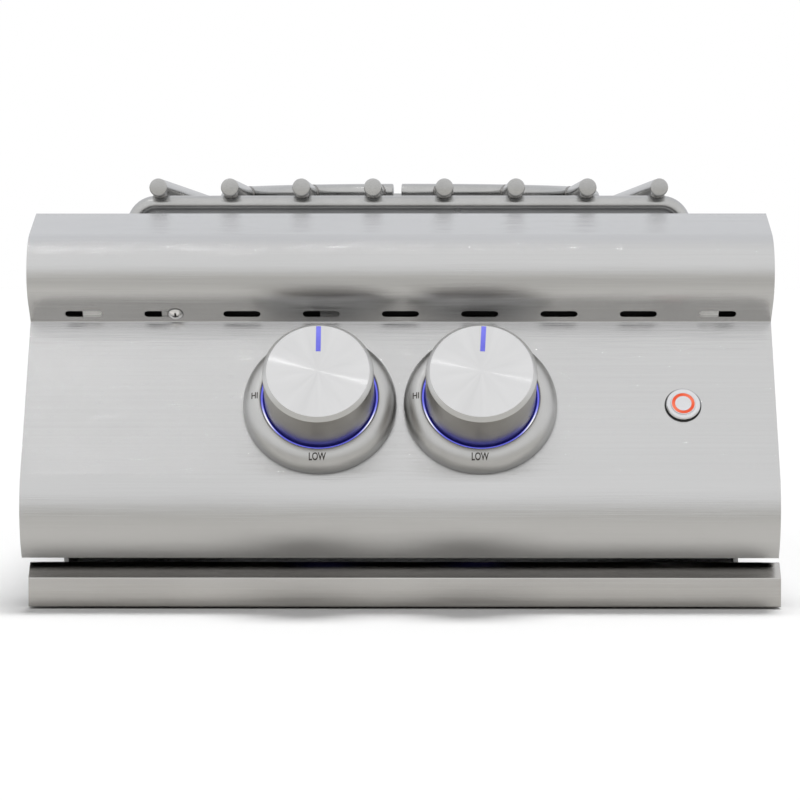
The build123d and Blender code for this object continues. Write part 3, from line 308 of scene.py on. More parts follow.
def holeRing(xs, ts, centre, halfLength, halfWidth, shares):
    # ring of quads from a rectangle's edge in to an obround hole: each edge point is drawn
    # along its ray from the centre to the hole, straight sides first, round ends after
    edge = np.concatenate([
        joined(xs[:-1], ts[0]), joined(xs[-1], ts[:-1]),
        joined(xs[:0:-1], ts[-1]), joined(xs[0], ts[:0:-1])])
    ray = edge - centre
    straight = halfLength - halfWidth
    dx, dy = np.abs(ray[:, 0]), np.maximum(np.abs(ray[:, 1]), samePoint)
    size = dx**2 + dy**2
    onSide = halfWidth / dy
    inner = np.maximum((straight * dx)**2 - size * (straight**2 - halfWidth**2), 0)
    onEnd = (straight * dx + np.sqrt(inner)) / size
    reach = np.where(onSide * dx <= straight, onSide, onEnd)
    hole = centre + ray * reach[:, None]
    ring = hole + np.array(shares)[:, None, None] * (edge - hole)
    return ring.reshape(-1, 2)[gridQuads(len(shares), len(edge), closeColumns=True)]


def makeFascia(f):
    # (x, t) sheet: x along the width, t along the path; cells with holes are cut out of the grid
    # and filled with rings, then the sheet gets its inner face and its edges
    path = bentPath(foldCorners, foldBends, f.bendSteps)
    run, step = runAlong(path), np.diff(path, axis=0)

    def alongPath(point):
        # distance along the path of a point that lies on one of its straight runs
        share = np.clip(((point - path[:-1]) * step).sum(1) / (step**2).sum(1), 0, 1)
        gap = np.hypot(*(path[:-1] + step * share[:, None] - point).T)
        best = np.argmin(gap)
        return run[best] + share[best] * (run[best + 1] - run[best])

    # cells: middle, half size, half size of the hole and number of lines, each along x and t
    slotT, controlT = alongPath(slotMiddle), alongPath(controlPoint[1:])
    slot = np.array((f.slotLength, f.slotWidth)) / 2
    slotXs = f.pitch * (np.arange(f.slots) - (f.slots - 1) / 2)
    slotRoom, slotLines = (slot[0] + f.slotEnd, f.slotCell), (f.slotLines, f.upLines)
    cells = [((x, slotT), slotRoom, slot, slotLines) for x in slotXs]
    rounds = [(knobX + side * f.screwReach, "screw" if side else "stem")
              for knobX in (-f.pitch, f.pitch) for side in (0, -1, 1)]
    for x, kind in [*rounds, (f.switchX, "switch")]:
        radius, half, lines = f.holes[kind]
        cells.append(((x, controlT), (half, f.controlCell), (radius, radius), (lines, f.upLines)))

    def gridLines(axis, lines):
        # the sheet's own lines and those of every cell along one axis, without near-equal ones
        ours = [np.linspace(middle[axis] - half[axis], middle[axis] + half[axis], count[axis])
                for middle, half, _, count in cells]
        lines = np.unique(np.round(np.concatenate([lines, *ours]), f.lineDigits))
        return lines[np.append(True, np.diff(lines) > f.lineGap)]

    xs, ts = gridLines(0, (-f.width / 2, f.width / 2)), gridLines(1, run)
    sheet = np.stack(np.meshgrid(xs, ts, indexing="ij"), -1).reshape(-1, 2)
    quads, rings = sheet[gridQuads(len(xs), len(ts))], []
    for middle, half, hole, _ in cells:
        quads = quads[~(np.abs(quads.mean(1) - middle) < half).all(1)]
        cellX, cellT = (lines[np.abs(lines - at) < reach + f.lineGap]
                        for lines, at, reach in zip((xs, ts), middle, half))
        rings.append(holeRing(cellX, cellT, np.array(middle), *hole, f.ringShares))
    quads = np.concatenate([quads, *rings])
    points = np.round(quads.reshape(-1, 2), f.pointDigits)
    flat, index = np.unique(points, axis=0, return_inverse=True)

    # outer face on the path, inner face one sheet further in along the mitred normal
    side = unit(joined(step[:, 1], -step[:, 0]))
    before, after = np.vstack([side[:1], side]), np.vstack([side, side[-1:]])
    mitre = (before + after) / (1 + (before * after).sum(1))[:, None]
    y, z, inY, inZ = (np.interp(flat[:, 1], run, values) for values in (*path.T, *mitre.T))
    outer = joined(flat[:, 0], y, z)
    inner = outer - f.sheet * joined(0.0, inY, inZ)
    makePiece("fascia_skin", np.concatenate([outer, inner]), sheetFaces(index.reshape(-1, 4), len(flat)),
              "fascia brushed steel", "chassis", "fascia_steel", ("front_fascia",), f.sharp)


# Round pieces on the panel: a profile of (radius, height) turned about the control's own axis

def turnedPiece(name, profile, x, finish, body, slot, replaced, sides, closed=True):
    # point(i, k) = axis point + radius_i (cos a_k across + sin a_k up) + height_i outward; a closed
    # profile ends where it starts, an open one starts and ends on the axis
    profile = profile[:-1] if closed else profile
    angle = onceRound(sides)
    rings = profile[:, :1, None] * joined(np.cos(angle), np.sin(angle))
    faces = gridQuads(len(profile), sides, closed, True).tolist()
    makePiece(name, onPanel(x, rings, profile[:, 1:]), faces, finish, body, slot, replaced)


bezel = Sizes(
    radius=0.049, bore=0.0372, height=0.013, edge=0.003, round=0.0012, footEase=0.0003, sides=192,
    domeSteps=28, mouthSteps=7, footSteps=3)


def bezelProfile(b):
    # bore, rounded mouth, then an arc that leaves the crown level and ends on a short upright edge:
    # its radius = (out squared + drop squared) / (2 drop)
    crown = b.bore + b.round
    drop, out = b.height - b.edge, b.radius - crown
    domeRadius = (out**2 + drop**2) / (2 * drop)
    turn = np.linspace(0, asin(out / domeRadius), b.domeSteps)
    dome = joined(crown + domeRadius * np.sin(turn), b.height - domeRadius * (1 - np.cos(turn)))
    turn = np.linspace(pi, pi / 2, b.mouthSteps)
    mouth = joined(crown + b.round * np.cos(turn), b.height - b.round * (1 - np.sin(turn)))
    foot = [(b.radius, b.edge), (b.radius, 0.0), (b.bore, 0.0), mouth[0]]
    foot = bentPath(foot, [b.footEase] * 2, b.footSteps)
    return np.concatenate([mouth[:-1], dome, foot[1:]]), dome


bezelRing, bezelDome = bezelProfile(bezel)

lightRing = Sizes(
    outer=0.03715, rim=0.0014, height=0.0112, plate=0.004, hole=0.012, edge=0.0003, steps=4, sides=192)


def lightRingProfile(r):
    # plate with a raised rim, its top edges eased
    hole, outer, plate, height, ease = r.hole, r.outer, r.plate, r.height, r.edge
    inner, start = outer - r.rim, (hole, plate / 2)
    return bentPath([
        start, (hole, 0), (outer, 0), (outer, height), (inner, height), (inner, plate), (hole, plate),
        start], [0, 0, ease, ease, ease, 0], r.steps)


knob = Sizes(
    radius=0.035, foot=0.009, top=0.046, chamfer=0.0025, ease=0.00035, innerEase=0.001,
    wall=0.0035, face=0.004, hub=0.008, hubRise=0.005, socket=0.00405, reach=0.029,
    fit=0.00005, turns={"left": 0.0, "right": -3.0}, plate=0.0002, plateGap=0.00002,
    faceShares=(0.0, 0.2, 0.5, 0.8, 1.0), steps=4, sides=180, sharp=30.0,
    pointerWidth=0.003, pointerLength=0.018, pointerDepth=0.0015, pointerEdge=0.0004,
    pointerEase=0.00025, pointerBend=0.0004, pointerInset=0.000625, pointerProud=0.00006,
    pointerSteps=5, pointerSharp=50.0, angleDigits=6,
)
knobPlaces = {"left": -fascia.pitch, "right": fascia.pitch}


def turnedDirections(turn):
    # the panel's own directions, turned about its outward normal
    turn = radians(turn)
    return cos(turn) * across + sin(turn) * upPanel, cos(turn) * upPanel - sin(turn) * across


def pointerMiddle(k):
    # the pointer's middle: half its length and its edge in from the rim of the face
    return k.radius - k.chamfer - k.pointerEdge - k.pointerLength / 2


def makeKnob(side, k):
    # face ring: rim point(a) = face radius (cos a, sin a), joined by straight rays to the edge of the
    # pointer's rectangular pocket; below the rim the profile is turned through the same angles
    faceRadius = k.radius - k.chamfer
    half = np.array((k.pointerWidth, k.pointerLength)) / 2 + k.fit
    centre = np.array((0.0, pointerMiddle(k)))
    # where the ray through each corner of the pocket meets the rim
    ray = half * cornerSigns
    along, size = (ray * centre).sum(1), (ray**2).sum(1)
    reach = (-along + np.sqrt(along**2 - size * ((centre**2).sum() - faceRadius**2))) / size
    onRim = centre + ray * reach[:, None]
    angle = np.append(onceRound(k.sides), np.arctan2(onRim[:, 1], onRim[:, 0]) % (2 * pi))
    angle = np.unique(np.round(angle, k.angleDigits))
    spoke = joined(np.cos(angle), np.sin(angle))
    plateRadius = faceRadius - k.ease / 2
    rim = plateRadius * spoke
    ray = rim - centre
    edge = centre + ray * (half / np.maximum(np.abs(ray), samePoint)).min(1)[:, None]
    faceRings = edge + np.array(k.faceShares)[:, None, None] * (rim - edge)

    def laid(rings, heights):
        # rings in the face's own directions, each at its height along the axis
        return onPanel(knobPlaces[side], rings, heights[:, None], *turnedDirections(k.turns[side]))

    below = k.top - k.plate
    plateRings = np.concatenate([edge[None], faceRings, rim[None]])
    plateHeights = np.array([below, *[k.top] * len(faceRings), below])
    makePiece(f"{side}_knob_face", laid(plateRings, plateHeights),
              tubeFaces(len(plateRings), len(angle), closed=True), f"{side} knob face",
              f"{side}_control", "knob_metal", (), k.sharp)

    seat, lip = below - k.plateGap, plateRadius + k.plateGap
    ceiling, hubFoot, innerWall = k.top - k.face, k.foot + k.hubRise, k.radius - k.wall
    skirt = bentPath([
        (lip, seat), (lip, k.top), (faceRadius, k.top), (k.radius, k.top - k.chamfer),
        (k.radius, k.foot), (innerWall, k.foot), (innerWall, ceiling), (k.hub, ceiling),
        (k.hub, hubFoot), (k.socket, hubFoot), (k.socket, k.foot + k.reach)],
        [0, k.ease / 4, k.ease * 2, k.ease, k.ease, k.innerEase, k.innerEase, 0, 0], k.steps)
    bodyRings = np.concatenate([edge[None], edge[None], skirt[:, :1, None] * spoke])
    bodyHeights = np.concatenate([[k.top - k.pointerDepth, seat], skirt[:, 1]])
    makePiece(f"{side}_knob_body", laid(bodyRings, bodyHeights), tubeFaces(len(bodyRings), len(angle)),
              f"{side} knob side", f"{side}_control", "knob_metal", (f"{side}_knob",), k.sharp)


def makePointer(side, k):
    # rounded bar: ring(i, a) = inset_i of a rectangle's outline, carried through its heights
    half = np.array((k.pointerWidth, k.pointerLength)) / 2
    ease, bend = k.pointerEase, k.pointerBend
    turn = np.linspace(0, pi / 2, k.pointerSteps)
    inset = np.concatenate([[0.0], ease * (1 - np.cos(turn)), [k.pointerInset]])
    height = np.concatenate([[-k.pointerDepth], ease * (np.sin(turn) - 1), [0.0]])
    arc = joined(np.cos(turn), np.sin(turn))
    arcs = np.stack([arc, arc[::-1] * (-1, 1), -arc, arc[::-1] * (1, -1)])
    outline = (cornerSigns[:, None] * (half - bend) + arcs * bend).reshape(-1, 2)
    rings = outline - inset[:, None, None] * np.sign(outline) * np.minimum(1, np.abs(outline) / half)
    points = onPanel(knobPlaces[side], rings + (0.0, pointerMiddle(k)),
                     (height + k.top + k.pointerProud)[:, None], *turnedDirections(k.turns[side]))
    makePiece(f"{side}_pointer_line", points, tubeFaces(len(height), len(outline)),
              f"{side} pointer light", f"{side}_control", "blue_light", (f"{side}_pointer",),
              k.pointerSharp)


# Lettering on the bezels, printed on the dome

lettering = Sizes(
    size=0.0062, narrow=0.75, bold=0.00013, proud=0.00004, cuts=3,
    words={"HI": (-0.0412, 0.0002), "LOW": (-0.0008, -0.0428)},
)


def makeWord(side, word, place, w):
    # letters laid flat on the panel, then lifted on to the dome: height = dome(hypot(u, v))
    text = bpy.data.curves.new(word, "FONT")
    text.body, text.size, text.offset = word, w.size, w.bold
    text.align_x, text.align_y = "CENTER", "CENTER"
    holder = placed(word, text)
    flat = bpy.data.meshes.new_from_object(holder.evaluated_get(bpy.context.evaluated_depsgraph_get()))
    bpy.data.objects.remove(holder)
    shell = bmesh.new()
    shell.from_mesh(flat)
    bmesh.ops.remove_doubles(shell, verts=shell.verts, dist=mergeReach)
    bmesh.ops.triangulate(shell, faces=shell.faces)
    bmesh.ops.subdivide_edges(shell, edges=shell.edges, cuts=w.cuts, use_grid_fill=True)
    bmesh.ops.triangulate(shell, faces=shell.faces)
    shell.to_mesh(flat)
    shell.free()
    spots, faces = np.zeros(len(flat.vertices) * 3), np.zeros(len(flat.loops), np.int32)
    flat.vertices.foreach_get("co", spots)
    flat.loops.foreach_get("vertex_index", faces)
    bpy.data.meshes.remove(flat)
    uv = spots.reshape(-1, 3)[:, :2] * (w.narrow, 1.0) + place
    height = np.interp(np.hypot(*uv.T), bezelDome[:, 0], bezelDome[:, 1])
    top = onPanel(knobPlaces[side], uv, height + w.proud)
    below = top - 2 * w.proud * outward
    makePiece(f"{side}_word_{word.lower()}", np.concatenate([top, below]),
              sheetFaces(faces.reshape(-1, 3), len(uv)), "letter ink", "chassis", "black_plastic")


# Push button

button = Sizes(
    x=fascia.switchX, sealRadius=0.0117, sealHeight=0.0008, bodyRadius=0.0095,
    headRadius=0.011, top=0.0028, chamfer=0.0007, bodyFoot=-0.030, well=-0.0182,
    bore=0.00796, plunger=0.0079, plungerTop=0.0032, plungerFoot=-0.0088,
    lensInner=0.0053, lensOuter=0.0072, lensDepth=0.002, fit=0.00005,
    ease=0.00015, sealEase=0.0003, lensEase=0.0004, steps=4, lensSteps=5, sides=96,
)


def makeButton(b):
    # four profiles of (radius, height) turned about the button's axis: head, seal, plunger, lens
    x, ease, sides, top, rim = b.x, b.ease, b.sides, b.plungerTop, b.headRadius
    turnedPiece("button_head", bentPath([
        (0, b.bodyFoot), (b.bodyRadius, b.bodyFoot), (b.bodyRadius, b.sealHeight),
        (rim, b.sealHeight), (rim, b.top - b.chamfer), (rim - b.chamfer, b.top),
        (b.bore, b.top), (b.bore, b.well), (0, b.well)], [0, 0, ease, ease, ease, ease, 0], b.steps),
        x, "button steel", "chassis", "switch_steel", ("switch_body",), sides, False)
    inner, outer, height = b.bodyRadius + b.fit, b.sealRadius, b.sealHeight
    turnedPiece("button_seal", bentPath([
        (inner, height / 2), (inner, 0), (outer, 0), (outer, height), (inner, height), (inner, height / 2)],
        [0, b.sealEase, b.sealEase, 0], b.steps),
        x, "seal rubber", "chassis", "black_rubber", ("switch_seal",), sides)
    groove, middle = top - b.lensDepth, top - b.lensDepth / 2
    inner, outer = b.lensInner - b.fit, b.lensOuter + b.fit
    turnedPiece("button_plunger", bentPath([
        (0, b.plungerFoot), (b.plunger, b.plungerFoot), (b.plunger, top), (outer, top),
        (outer, groove), (inner, groove), (inner, top), (0, top)], [0, ease, ease, 0, 0, ease], b.steps),
        x, "button steel", "push_button", "switch_steel", ("switch_plunger",), sides, False)
    inner, outer = b.lensInner, b.lensOuter
    turnedPiece("button_light", bentPath([
        (inner, middle), (inner, groove), (outer, groove), (outer, top), (inner, top), (inner, middle)],
        [0, 0, b.lensEase, b.lensEase], b.lensSteps),
        x, "button light", "push_button", "red_light", ("switch_light",), sides)


# Cross-head screw under the nose

screw = Sizes(
    x=-0.1455, radius=0.0051, height=0.0024, shank=0.002, length=0.009, edge=0.0001,
    arm=0.00055, armReach=0.0028, depth=0.0013, armEdge=0.00012, armFade=0.0012, turn=20.0,
    rings=(0.02, 0.98, 44), lastRing=0.997, rimFrom=0.90, rimFade=0.04, sides=96, sharp=40.0)


def makeScrew(s):
    # head(r, a) = round cap minus a cross-shaped recess that fades out along its arms
    centre = np.array((s.x, *slotMiddle))
    sphere = (s.radius**2 + s.height**2) / (2 * s.height)
    angle = onceRound(s.sides) + radians(s.turn)
    share, a = np.meshgrid(np.append(np.linspace(*s.rings), s.lastRing), angle, indexing="ij")
    r = share * s.radius
    x, y = r * np.cos(a), r * np.sin(a)
    cap = np.sqrt(sphere**2 - r**2) - (sphere - s.height)
    near = np.minimum(np.abs(x), np.abs(y))
    cross = np.clip((s.arm - near) / s.armEdge, 0, 1) * np.clip((s.armReach - r) / s.armFade, 0, 1)
    head = cap - s.depth * cross
    top = centre + x[..., None] * across + y[..., None] * upBand + head[..., None] * outBand
    shank = bentPath([(s.radius, s.edge), (s.radius, 0), (s.shank, 0), (s.shank, -s.length)], [0, 0])
    ring = np.cos(angle)[:, None] * across + np.sin(angle)[:, None] * upBand
    foot = centre + shank[:, :1, None] * ring + shank[:, 1:, None] * outBand
    points = np.concatenate([top, foot])
    # painted shade: black in the cross recess, a painted shadow round the rim where the head meets the
    # sheet, and black on the hidden shank
    rim = np.clip((share - s.rimFrom) / s.rimFade, 0, 1)
    shade = np.concatenate([np.maximum(cross, rim), np.ones(foot.shape[:2])])
    makePiece("fascia_screw_head", points, tubeFaces(len(points), s.sides), "cross-head screw", "chassis",
              "screw_steel", ("fascia_screw",), s.sharp, shade)


# Drip tray's front bar: its side view carried along the width, with a plate set into each end

trayFront = Sizes(
    width=0.480, shift=0.0028, face=-0.3632, depth=0.014, foot=0.001, top=0.0285, bevel=0.009,
    bevelTurn=45.0, ease=0.0006, fold=0.012, sheet=0.0015, endScale=0.985, endGap=0.0002, sharp=30.0)


def makeTrayFront(t):
    # prism: point(i, k) = (x_i, outline_k), once for the folded sheet and once for each end plate
    face, top, foot, ease, sheet, bevel = t.face, t.top, t.foot, t.ease, t.sheet, t.bevel
    back, fold, half = face + t.depth, top - t.fold, t.width / 2
    slant = sheet * tan(radians(t.bevelTurn / 2))
    outer = [(back, top), (face + bevel, top), (face, top - bevel), (face, foot), (back, foot)]
    outerBends = [ease, ease, 2 * ease, ease, 0]

    def prism(name, outline, depths, *rest):
        points = np.stack([joined(depth + t.shift, *outline.T) for depth in depths])
        makePiece(name, points, tubeFaces(2, len(outline)), "tray brushed steel", "drip_tray",
                  "fascia_steel", *rest)

    # outer skin, then back round the inside of the folded sheet
    skin = bentPath([
        (back, fold), *outer, (back, foot + sheet), (face + sheet, foot + sheet),
        (face + sheet, top - bevel - slant), (face + bevel + slant, top - sheet),
        (back - sheet, top - sheet), (back - sheet, fold), (back, fold)], outerBends + [0] * 6)[:-1]
    prism("tray_front_bar", skin, (-half, half), ("drip_tray_front",), t.sharp)
    # plates that close both ends
    start = (back, (foot + top) / 2)
    plate = bentPath([start, *outer, start], outerBends)[:-1]
    middle = plate.mean(0)
    plate = middle + (plate - middle) * t.endScale
    for side, sign in (("left", -1), ("right", 1)):
        prism(f"tray_front_{side}_end", plate, (sign * (half - t.endGap), sign * (half - sheet)))


# Cooking grid of round bar

grid = Sizes(
    bar=0.006, count=8, outer=0.1669, shift=0.005, barHeight=0.2707, rodHeight=0.2596,
    rodY=0.250, reach=0.265, legReach=0.1833, legBend=0.014, foot=0.1972,
    ring=0.136, gap=0.006, gapOffset=0.0084, endRound=0.0008,
    sides=40, endSteps=5, bendSteps=12, ringSteps=182,
    ringWeld=0.0013, rodWeld=0.00143, weldSink=0.00026, weldBase=0.8, weldSwell=0.3,
    ringDrops=7, rodDrops=6, weldSteps=56, weldSides=10,
)


def carryRound(centres, radii, sideA, sideB, sides):
    # tube(i, a) = centre_i + radius_i (cos a sideA_i + sin a sideB_i)
    angle = onceRound(sides)[:, None]
    sideA, sideB = (np.atleast_2d(side)[:, None] for side in (sideA, sideB))
    return centres[:, None] + radii[:, None, None] * (np.cos(angle) * sideA + np.sin(angle) * sideB)


def easedBar(g, start, end, inner=()):
    # stations along a bar and the radius at each, a quarter round at both ends
    turn = np.linspace(0, pi / 2, g.endSteps)
    step, width = g.endRound * (1 - np.cos(turn)), g.bar - g.endRound * (1 - np.sin(turn))
    stations = np.concatenate([start + step, inner, (end - step)[::-1]])
    return stations, np.concatenate([width, np.full(len(inner), g.bar), width[::-1]])


def makeTubes(name, tubes, replaced=(), finish="grid bar steel", closed=False):
    # several tubes as one piece: the faces of each count on from the points before it
    faces, offset = [], 0
    for tube in tubes:
        faces += tubeFaces(*tube.shape[:2], offset, closed)
        offset += tube.shape[0] * tube.shape[1]
    points = np.concatenate([tube.reshape(-1, 3) for tube in tubes])
    makePiece(name, points, faces, finish, "cooking_grid", "grid_steel", replaced)


def makeGridRods(g):
    # cross rods: a path of legs, bends and rod in x and z, carried round
    leg, height = g.legReach, g.rodHeight
    path = bentPath([(-leg, g.foot), (-leg, height), (leg, height), (leg, g.foot)],
                    [g.legBend] * 2, g.bendSteps)
    run, step = runAlong(path), np.diff(path, axis=0)
    stations, radii = easedBar(g, 0, run[-1], run[1:-1])
    x, z = (np.interp(stations, run, values) for values in path.T)
    side = unit(joined(-step[:, 1], step[:, 0]))
    first, last = (np.repeat(side[end][None], g.endSteps, 0) for end in (0, -1))
    sideX, sideZ = np.concatenate([first, unit(side[:-1] + side[1:]), last]).T
    for place, y in (("front", -g.rodY), ("rear", g.rodY)):
        tube = carryRound(joined(x + g.shift, y, z), radii, joined(sideX, 0.0, sideZ),
                          np.array((0.0, 1.0, 0.0)), g.sides)
        makeTubes(f"grid_{place}_rod", [tube], (f"grid_{place}_frame",))


def barPlaces(g):
    # x of every bar from the grid's middle, at equal steps
    return np.linspace(-g.outer, g.outer, g.count)


def makeGridBars(g):
    # straight bars along y; those that meet the ring stop on its centre line, front and rear
    tubes = []
    for x in barPlaces(g):
        runs = [(-g.reach, g.reach)]
        if abs(x) < g.ring:
            ringY = np.sqrt(g.ring**2 - x**2)
            runs = [(-g.reach, -ringY), (ringY, g.reach)]
        for start, end in runs:
            along, radii = easedBar(g, start, end)
            centres = joined(x + g.shift, along, g.barHeight)
            tubes.append(carryRound(centres, radii, across, upright, g.sides))
    makeTubes("grid_bar_rods", tubes, ("grid_bars",))


def makeGridRing(g):
    # ring split by a gap: angle runs nearly once round, its two ends eased
    halfGap = asin(g.gap / 2 / g.ring)
    start = (halfGap - pi / 2 - asin(g.gapOffset / g.ring)) * g.ring
    end = start + (2 * pi - 2 * halfGap) * g.ring
    inner = np.linspace(start + g.endRound, end - g.endRound, g.ringSteps)[1:-1]
    along, radii = easedBar(g, start, end, inner)
    angle = along / g.ring
    spoke = joined(np.cos(angle), np.sin(angle), 0.0)
    centres = np.array((g.shift, 0.0, g.barHeight)) + g.ring * spoke
    makeTubes("grid_wok_ring", [carryRound(centres, radii, spoke, upright, g.sides)], ("grid_ring",))


def makeGridWelds(g):
    # beads on the lines where bar meets ring and bar meets cross rod
    turn = onceRound(g.weldSteps)
    c, s = np.cos(turn), np.sin(turn)
    bar, middle, beads = g.bar, np.array((g.shift, 0.0, 0.0)), []

    def bead(line, sideA, sideB, size, drops):
        # width swells along the line like stacked drops: size (base + swell |sin(drops a)|), and
        # stays under the top of the bars
        width = size * (g.weldBase + g.weldSwell * np.abs(np.sin(drops * turn)))
        width = np.minimum(width, g.barHeight + bar - line[:, 2])
        beads.append(carryRound(line, width, sideA, sideB, g.weldSides))

    # reach r of the patch where the round of the bar dips into that of the rod, in bar radii:
    # r squared / 2 + bulge r to the fourth / 8 = sink
    sink = 2 * bar - (g.barHeight - g.rodHeight)
    bulge = c**4 + s**4
    reach = bar * np.sqrt((np.sqrt(16 + 32 * bulge * sink / bar) - 4) / (2 * bulge))
    u, v = reach * c, reach * s
    for number, x in enumerate(barPlaces(g)):
        for end in (-1, 1):
            if abs(x) < g.ring:
                # equal rounds: distance from the ring's axis = ring + bar |cos a|
                aroundBar, away = x + bar * c, g.ring + bar * np.abs(c)
                line = middle + joined(aroundBar, end * np.sqrt(away**2 - aroundBar**2),
                                       g.barHeight + (bar - g.weldSink) * s)
                sideA = joined(c, 0.0, s)
                sideB = unit(np.cross(np.roll(line, -1, 0) - np.roll(line, 1, 0), sideA))
                bead(line, sideA, sideB, g.ringWeld, g.ringDrops + number % 3)
            line = middle + joined(x + u, end * g.rodY + v, g.barHeight - np.sqrt(bar**2 - u**2))
            bead(line, joined(c, s, 0.0), upright, g.rodWeld, g.rodDrops + number % 2)
    makeTubes("grid_welds", beads, finish="weld bead", closed=True)


# Finishes

def grey(level):
    # equal parts of red, green and blue
    return (level, level, level)


def brushedSteel(name, dark, light, rough, grain, lines=0.00002, cloud=5.0, streaks=0.12):
    # fine lines along the brushing direction, over broad soft changes of tone
    f = Finish(name, Metallic=1.0)
    place = f.place()
    fine = f.noise(f.moved(place, Scale=grain), roughness=0.6)
    streak = f.noise(f.moved(place, Scale=tuple(axis * streaks for axis in grain)))
    soft = f.noise(place, cloud)
    return f.feed(
        Base_Color=f.shades(fine * 0.4 + streak * 0.2 + soft * 0.4, dark, light),
        Roughness=f.spread(streak * 0.3 + fine * 0.7, *rough),
        Normal=f.bump(fine, 1.0, lines))


def controlPlace(f, x):
    # place in a control's own directions: x across, y up the panel, z out of it
    origin = controlPoint + across * x
    return f.moved(f.place(), "TEXTURE", Location=tuple(origin), Rotation=(panelTilt, 0.0, 0.0))


def turnedMetal(name, x, dark, light, rough, lines, foot=(0.0003, 0.001), paintedFootShade=0.0, pitch=9000.0,
                cloud=60.0):
    # fine rings left by turning: they follow the distance from the axis and the height along it;
    # painted shade darkens the metal towards the panel, standing in for the shade where it meets the panel
    f = Finish(name, Metallic=1.0)
    place = controlPlace(f, x)
    u, v, w = f.parts(place)
    away, angle = (u * u + v * v) ** 0.5, v.math("ARCTAN2", v, u)
    fine = f.noise(f.vector(away * pitch, w * pitch, angle * 1.2), roughness=0.6)
    soft = f.noise(place, cloud)
    metal = f.shades(fine * 0.5 + soft * 0.5, dark, light)
    return f.feed(
        Base_Color=f.tint(f.span(w, *foot, paintedFootShade, 0.0), metal, grey(0.06)),
        Roughness=f.spread(soft, *rough),
        Normal=f.bump(fine, 1.0, lines))


def knobSide(name, x, dark, light, edge, rough, edgeHeight, edgeBlend=0.0002,
             grain=(60.0, 60.0, 3000.0), cloud=45.0, lines=0.00001):
    # satin side, warm and dark, under a bright cut edge
    f = Finish(name, Metallic=1.0)
    place = controlPlace(f, x)
    rings = f.noise(f.moved(place, Scale=grain))
    soft = f.noise(place, cloud)
    cut = f.span(f.parts(place)[2], edgeHeight - edgeBlend, edgeHeight)
    return f.feed(
        Base_Color=f.tint(cut, f.shades(rings * 0.5 + soft * 0.5, dark, light), edge),
        Roughness=f.spread(soft, *rough),
        Normal=f.bump(rings, 1.0, lines))


def spunFace(name, x, dark, light, rough, pitch=5200.0):
    # spun face: light spreads across its rings, and faint sectors of painted sheen run out from the middle
    f = Finish(name, Metallic=1.0, Anisotropic=1.0, Anisotropic_Rotation=0.25)
    u, v = f.parts(controlPlace(f, x))[:2]
    away = (u * u + v * v) ** 0.5 + 0.0001
    paintedSheen = f.noise(f.vector(u / away, v / away, away * 8.0), 2.2, 3.0)
    rings = f.noise(f.vector(away * pitch), detail=1.0)
    return f.feed(
        Base_Color=f.shades(paintedSheen * 0.85 + rings * 0.15, dark, light),
        Roughness=f.spread(paintedSheen, *rough))


def crossScrew(name, dark, light, black, rough, cloud=900.0):
    # plated head, black where the shade attribute says so: painted shade in the cross recess and a painted
    # shadow round the rim
    f = Finish(name, Metallic=1.0)
    shade = f.node("ShaderNodeAttribute", {"attribute_name": "shade"}, out="Fac")
    soft = f.noise(f.place(), cloud)
    return f.feed(
        Base_Color=f.tint(shade, f.shades(soft, dark, light), black), Roughness=f.spread(soft, *rough))


def paintedEndLight(name, dull, bright, rough, reach, cloud=320.0):
    # painted light and shade: the sheet's colour is dull in the middle and brightens over a reach towards
    # its ends, by the square
    f = Finish(name, Metallic=1.0)
    soft = f.noise(f.place(), cloud, 3.0)
    litShare = f.span(abs(f.parts(f.place())[0]), *reach)
    return f.feed(
        Base_Color=f.tint(litShare * litShare * (soft * 0.3 + 0.8), dull, bright),
        Roughness=f.spread(soft, *rough))


def plainMetal(name, dark, light, rough, grain=900.0, cloud=22.0, lift=0.25, metallic=1.0):
    # cast, drawn or plated metal: fine even grain and slow stains
    f = Finish(name, Metallic=metallic)
    place = f.place()
    fine = f.noise(place, grain, 3.0, 0.6)
    soft = f.noise(place, cloud, 4.0, 0.6)
    return f.feed(
        Base_Color=f.shades(fine * 0.35 + soft * 0.65, dark, light, 0.32),
        Roughness=f.spread(soft, *rough),
        Normal=f.bump(fine, lift, 0.00003))


def softBlack(name, dark, light, rough, grain=1400.0, cloud=60.0):
    # rubber or moulded plastic with a fine grain
    f = Finish(name, Specular_IOR_Level=0.35)
    place = f.place()
    fine = f.noise(place, grain)
    return f.feed(
        Base_Color=f.shades(f.noise(place, cloud), dark, light),
        Roughness=f.spread(fine, *rough),
        Normal=f.bump(fine, 0.2, 0.00004))


def litRing(name, x, stops, spots, spread, base, inner, soft, grain=700.0):
    # light behind clear plastic: dark inside its inner edge, brightest near its lamps
    f = Finish(name, Roughness=0.4, Emission_Strength=1.0, Specular_IOR_Level=0.2)
    place = controlPlace(f, x)
    u, v = f.parts(place)[:2]
    away, angle = (u * u + v * v) ** 0.5, v.math("ARCTAN2", v, u)
    glow = 0.0
    for spot in spots:
        turn = angle - radians(spot)
        glow = f.span(turn.math("COSINE", turn), cos(radians(spread)), 1.0) ** 2.0 + glow
    uneven = (f.noise(place, grain) - 0.5) * 0.1
    level = (base + glow * (1 - base) + uneven) * f.span(away, inner, inner + soft)
    lit = f.node("ShaderNodeValToRGB", {"stops": stops}, {"Fac": level})
    return f.feed(Emission_Color=lit, Base_Color=f.tint(level, grey(0.01), (0.03, 0.02, 0.02)))


def litBar(name, x, low, high, fade=(0.014, 0.032, 0.25, 0.75), grain=420.0):
    # pointer line: lit plastic, a little brighter towards its outer end
    f = Finish(name, Roughness=0.3, Emission_Strength=1.0, Base_Color=(0.05, 0.05, 0.25, 1.0))
    place = controlPlace(f, x)
    level = f.span(f.parts(place)[1], *fade) + (f.noise(place, grain) - 0.5) * 0.5
    return f.feed(Emission_Color=f.tint(level, low, high))


